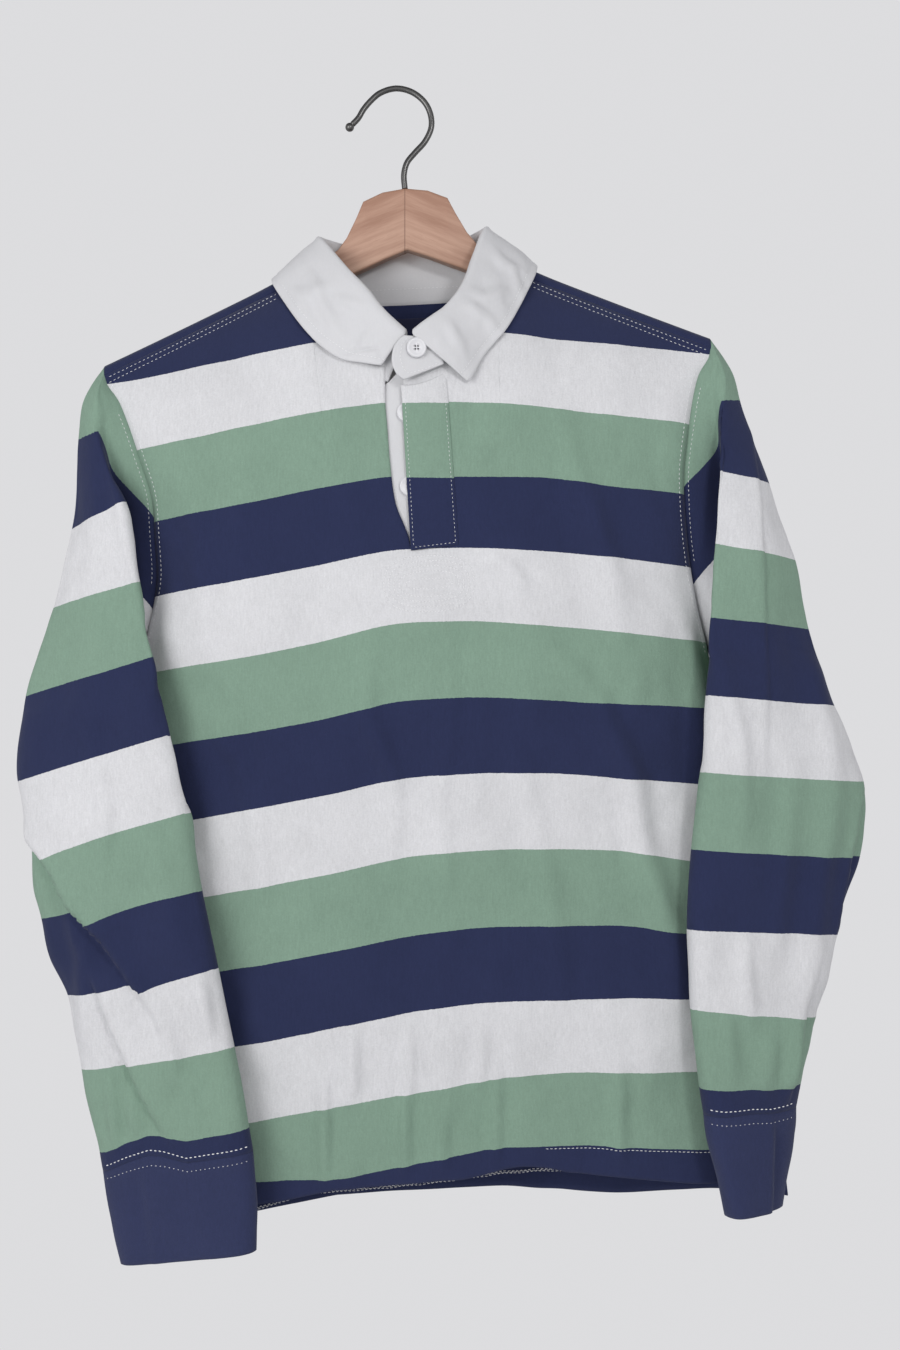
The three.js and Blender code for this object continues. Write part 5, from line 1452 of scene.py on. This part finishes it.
def sew(name, tree, lines, length, width, gap, seed, behind=False):
    """Lays stitches on the cloth along lines of (x, z), seen from the front or from behind."""
    places, along, outward = [], [], []
    start, way = (0.4, Vector((0, -1, 0))) if behind else (-0.4, Vector((0, 1, 0)))
    for line in lines:
        hits = []
        for x, z in spaced(line, gap):
            at = on_hanger(np.array((x, 0, z)))
            place, normal = tree.ray_cast(Vector((at[0], start, at[2])), way)[:2]
            if place is not None:
                hits.append((place, normal if normal.dot(way) < 0 else -normal))
        for k, (place, normal) in enumerate(hits):
            before, after = hits[max(k - 1, 0)][0], hits[min(k + 1, len(hits) - 1)][0]
            step = after - before
            if 0 < step.length < 4 * gap / 1000:
                places.append(place + normal * (STITCH_RISE / 1000))
                along.append(step.normalized())
                outward.append(normal)
    mesh = bpy.data.meshes.new(name + "_places")
    mesh.from_pydata([tuple(p) for p in places], [], [])
    for key, values in (("along", along), ("outward", outward)):
        layer = mesh.attributes.new(key, "FLOAT_VECTOR", "POINT")
        layer.data.foreach_set("vector", np.array([tuple(v) for v in values], np.float32).ravel())
    holder = bpy.data.objects.new(name + "_places", mesh)
    bpy.context.scene.collection.objects.link(holder)
    maker = holder.modifiers.new("stitching", "NODES")
    maker.node_group = STITCHES
    ids = {item.name: item.identifier for item in STITCHES.interface.items_tree if item.in_out == "INPUT"}
    values = {"Length": length / 1000, "Width": width / 1000, "Unevenness": 0.12, "Seed": seed, "Thread": thread_white}
    for title, value in values.items():
        maker[ids[title]] = value
    seen = holder.evaluated_get(bpy.context.evaluated_depsgraph_get())
    baked = bpy.data.meshes.new_from_object(seen)
    bpy.data.objects.remove(holder)
    baked.polygons.foreach_set("use_smooth", [True] * len(baked.polygons))
    piece = bpy.data.objects.new(name, baked)
    bpy.context.scene.collection.objects.link(piece)
    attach(piece, "root")
    return piece


def front_edge_line(side, inset, rows):
    """A line down the front beside an armhole seam."""
    edge = [front_point(side * SHOULDER_HALF, v) for v in rows]
    return [(p[0] - side * inset, p[2]) for p in edge]


def oval(centre, half_wide, half_high, power=2.6):
    points = []
    for k in range(65):
        a = math.tau * k / 64
        c, d = math.cos(a), math.sin(a)
        points.append((centre[0] + half_wide * math.copysign(abs(c) ** (2 / power), c),
                       centre[1] + half_high * math.copysign(abs(d) ** (2 / power), d)))
    return points


def sleeve_ring_line(side, row, drop=0.0, behind=False):
    """A line across a sleeve's foot, from its inner fold to its outer edge."""
    sleeve = SLEEVE[side][row]
    lift = 4.0 if behind else -1.5
    line = [(side * mix(sleeve["fold_x"] + 1, sleeve["out_x"] - 1, w), 0,
             mix(sleeve["fold_z"], sleeve["out_z"], w) + drop + lift * math.sin(math.pi * w) * 0.5)
            for w in np.linspace(0, 1, 40)]
    return [(x, z) for x, _, z in waved(side, np.array(line))]


def sew_shirt():
    front = cloth_tree("front_panel", "over_placket_cloth")
    sleeves = {side: cloth_tree("sleeve_left_cloth" if side < 0 else "sleeve_right_cloth") for side in (-1, 1)}
    cuffs = {side: cloth_tree("cuff_left_cloth" if side < 0 else "cuff_right_cloth") for side in (-1, 1)}
    back = cloth_tree("back_panel")
    leaves = cloth_tree("collar_cloth", "collar_tab_cloth")
    rows = np.linspace(0.01, ARMPIT_V - 0.005, 30)
    lines = []
    for side in (-1, 1):
        lines.append(front_edge_line(side, 3.4, rows))
        for drop in (2.4, 6.2):
            lines.append([(side * x, shoulder_seam(x)[2] - drop) for x in np.linspace(84, 194, 20)])
        word = "left" if side < 0 else "right"
        sew("stitching_cap_" + word, sleeves[side], [front_edge_line(side, -3.2, rows[3:21])],
            length=1.7, width=0.34, gap=3.0, seed=13)
    sew("stitching_front", front, lines, length=1.7, width=0.34, gap=3.0, seed=1)
    fine = refine(collar_net, (4, 4, 4, 4, 4, 6, 7, 7, 7), 7)
    seen = [p for p in fine[-5] if p[1] < -16]
    halves = [[(p[0], p[2]) for p in seen if p[0] < 0], [(p[0], p[2]) for p in seen if p[0] > 0]]
    sew("stitching_collar", leaves, halves, length=1.6, width=0.4, gap=2.5, seed=11)
    stand = [(x, -129.0) for x in np.linspace(-34, 36, 12)]
    sew("stitching_stand", leaves, [stand], length=1.6, width=0.34, gap=2.7, seed=14)
    tab = [(x + 2.6 * mix(1, -1, (x + 9) / 32), z + 1.6)
           for z, x in ((-177, 0), (-181, -4.4), (-189.5, -6.4), (-197, -4), (-199.5, 0))]
    tab += [(12, -195), (20, -191.5)]
    sew("stitching_tab", leaves, [tab], length=1.5, width=0.4, gap=2.4, seed=12)
    hem = [(x, float(np.interp(x, STRIPE_AT, STRIPE_EDGES[11])) - 1.6) for x in np.linspace(66, 212, 30)]
    sew("stitching_hem", front, [hem], length=1.9, width=0.42, gap=2.8, seed=2)
    placket = [
        [(mix(23.0, 25.8, t), mix(-200, -306, t)) for t in np.linspace(0, 1, 12)],
        [(mix(-2.4, -1.2, t), mix(-204, -307, t)) for t in np.linspace(0, 1, 12)],
        [(x, mix(-307.5, -305.4, (x + 1) / 27)) for x in np.linspace(-1, 26, 8)],
    ]
    sew("stitching_placket", front, placket, length=1.4, width=0.3, gap=2.7, seed=3)
    centre = (7.5, -331)
    ovals = [oval(centre, 29 - 3.3 * k, 18 - 3.3 * k) for k in range(4)] + [oval(centre, 15, 3.2)]
    sew("stitching_oval", front, ovals, length=1.5, width=0.5, gap=2.1, seed=4)
    for side, word in ((-1, "left"), (1, "right")):
        lines = [sleeve_ring_line(side, -1, drop=4.2)]
        sew("stitching_cuff_" + word, sleeves[side], lines, length=1.9, width=0.7, gap=3.0, seed=5)
        below = [sleeve_ring_line(side, -1, drop=-5.0)]
        sew("stitching_rib_" + word, cuffs[side], below, length=0.9, width=0.45, gap=3.0, seed=6)
        rear = [sleeve_ring_line(side, -1, drop=4.2, behind=True)]
        sew("stitching_cuff_back_" + word, sleeves[side], rear, length=2.1,
            width=0.8, gap=2.3, seed=7, behind=True)
    rows = np.linspace(0.02, 0.5, 24)
    lines = []
    for side in (-1, 1):
        edge = [back_point(side * SHOULDER_HALF, CREST_ROWS + 1, back_v(z)) for z in np.linspace(-215, -378, 24)]
        for inset in (2.4, 5.6):
            lines.append([(p[0] - side * inset, p[2]) for p in edge])
    sew("stitching_back", back, lines, length=1.9, width=0.42, gap=2.9, seed=8, behind=True)
    hem = [(x, soft_line(BACK_HEM, x / 216) + 26) for x in np.linspace(-208, 208, 50)]
    sew("stitching_back_hem", back, [hem], length=2.0, width=0.5, gap=2.9, seed=9, behind=True)
    above_hem = ((-160, -132, -97, -38, -10, 30, 58, 90), (5, 3.6, 2.8, 2.8, 4.6, 7.8, 12, 14))
    inner = [(x, soft_line(BACK_HEM, x / 216) + np.interp(x, *above_hem) + (1.0 if k % 2 else -1.0))
             for k, x in enumerate(np.arange(-205, 205, 1.4))]
    sew("overlock", back, [inner], length=2.1, width=0.5, gap=1.7, seed=10)


sew_shirt()

# Pale floor, soft light
FLOOR_Z = -1.45


def light(name, size, power, at, target=(0.03, 0, -0.4)):
    lamp = bpy.data.lights.new(name, "AREA")
    lamp.size = size
    lamp.energy = power
    thing = bpy.data.objects.new(name, lamp)
    aim = (Vector(target) - Vector(at)).to_track_quat("-Z", "Y")
    thing.matrix_world = Matrix.Translation(at) @ aim.to_matrix().to_4x4()
    bpy.context.scene.collection.objects.link(thing)


light("key", 0.25, 7.0, (0.62, -1.5, 0.2))
light("fill", 0.8, 12.5, (-0.95, -1.35, -0.2))
light("back", 2.0, 15, (0.6, 2.2, 0.6))
world = bpy.data.worlds.new("studio")
world.use_nodes = True
sky = world.node_tree
# pale round the horizon and dimmer above and below, so folds keep their shading
way = node(sky, "ShaderNodeTexCoord").outputs["Generated"]
steep = maths(sky, "ABSOLUTE", node(sky, "ShaderNodeSeparateXYZ", None, i0=way).outputs[2])
share = node(sky, "ShaderNodeMapRange", {"interpolation_type": "SMOOTHSTEP"}, i0=steep, i1=0.45, i2=0.8).outputs[0]
sky.links.new(blend(sky, share, (0.72, 0.72, 0.735, 1), (0.32, 0.32, 0.33, 1)), sky.nodes["Background"].inputs[0])
bpy.context.scene.world = world
bpy.context.scene.view_settings.view_transform = "Standard"

floor_mesh = bpy.data.meshes.new("floor")
corners = [(x, y, FLOOR_Z) for x, y in ((-2, -1.6), (2, -1.6), (2, 1.5), (-2, 1.5))]
floor_mesh.from_pydata(corners, [], [(0, 1, 2, 3)])
floor = bpy.data.objects.new("floor", floor_mesh)
bpy.context.scene.collection.objects.link(floor)
floor_finish = plain_material("floor_pale", (0.88, 0.88, 0.89, 1), 0.8)[0]
floor.data.materials.append(floor_finish)
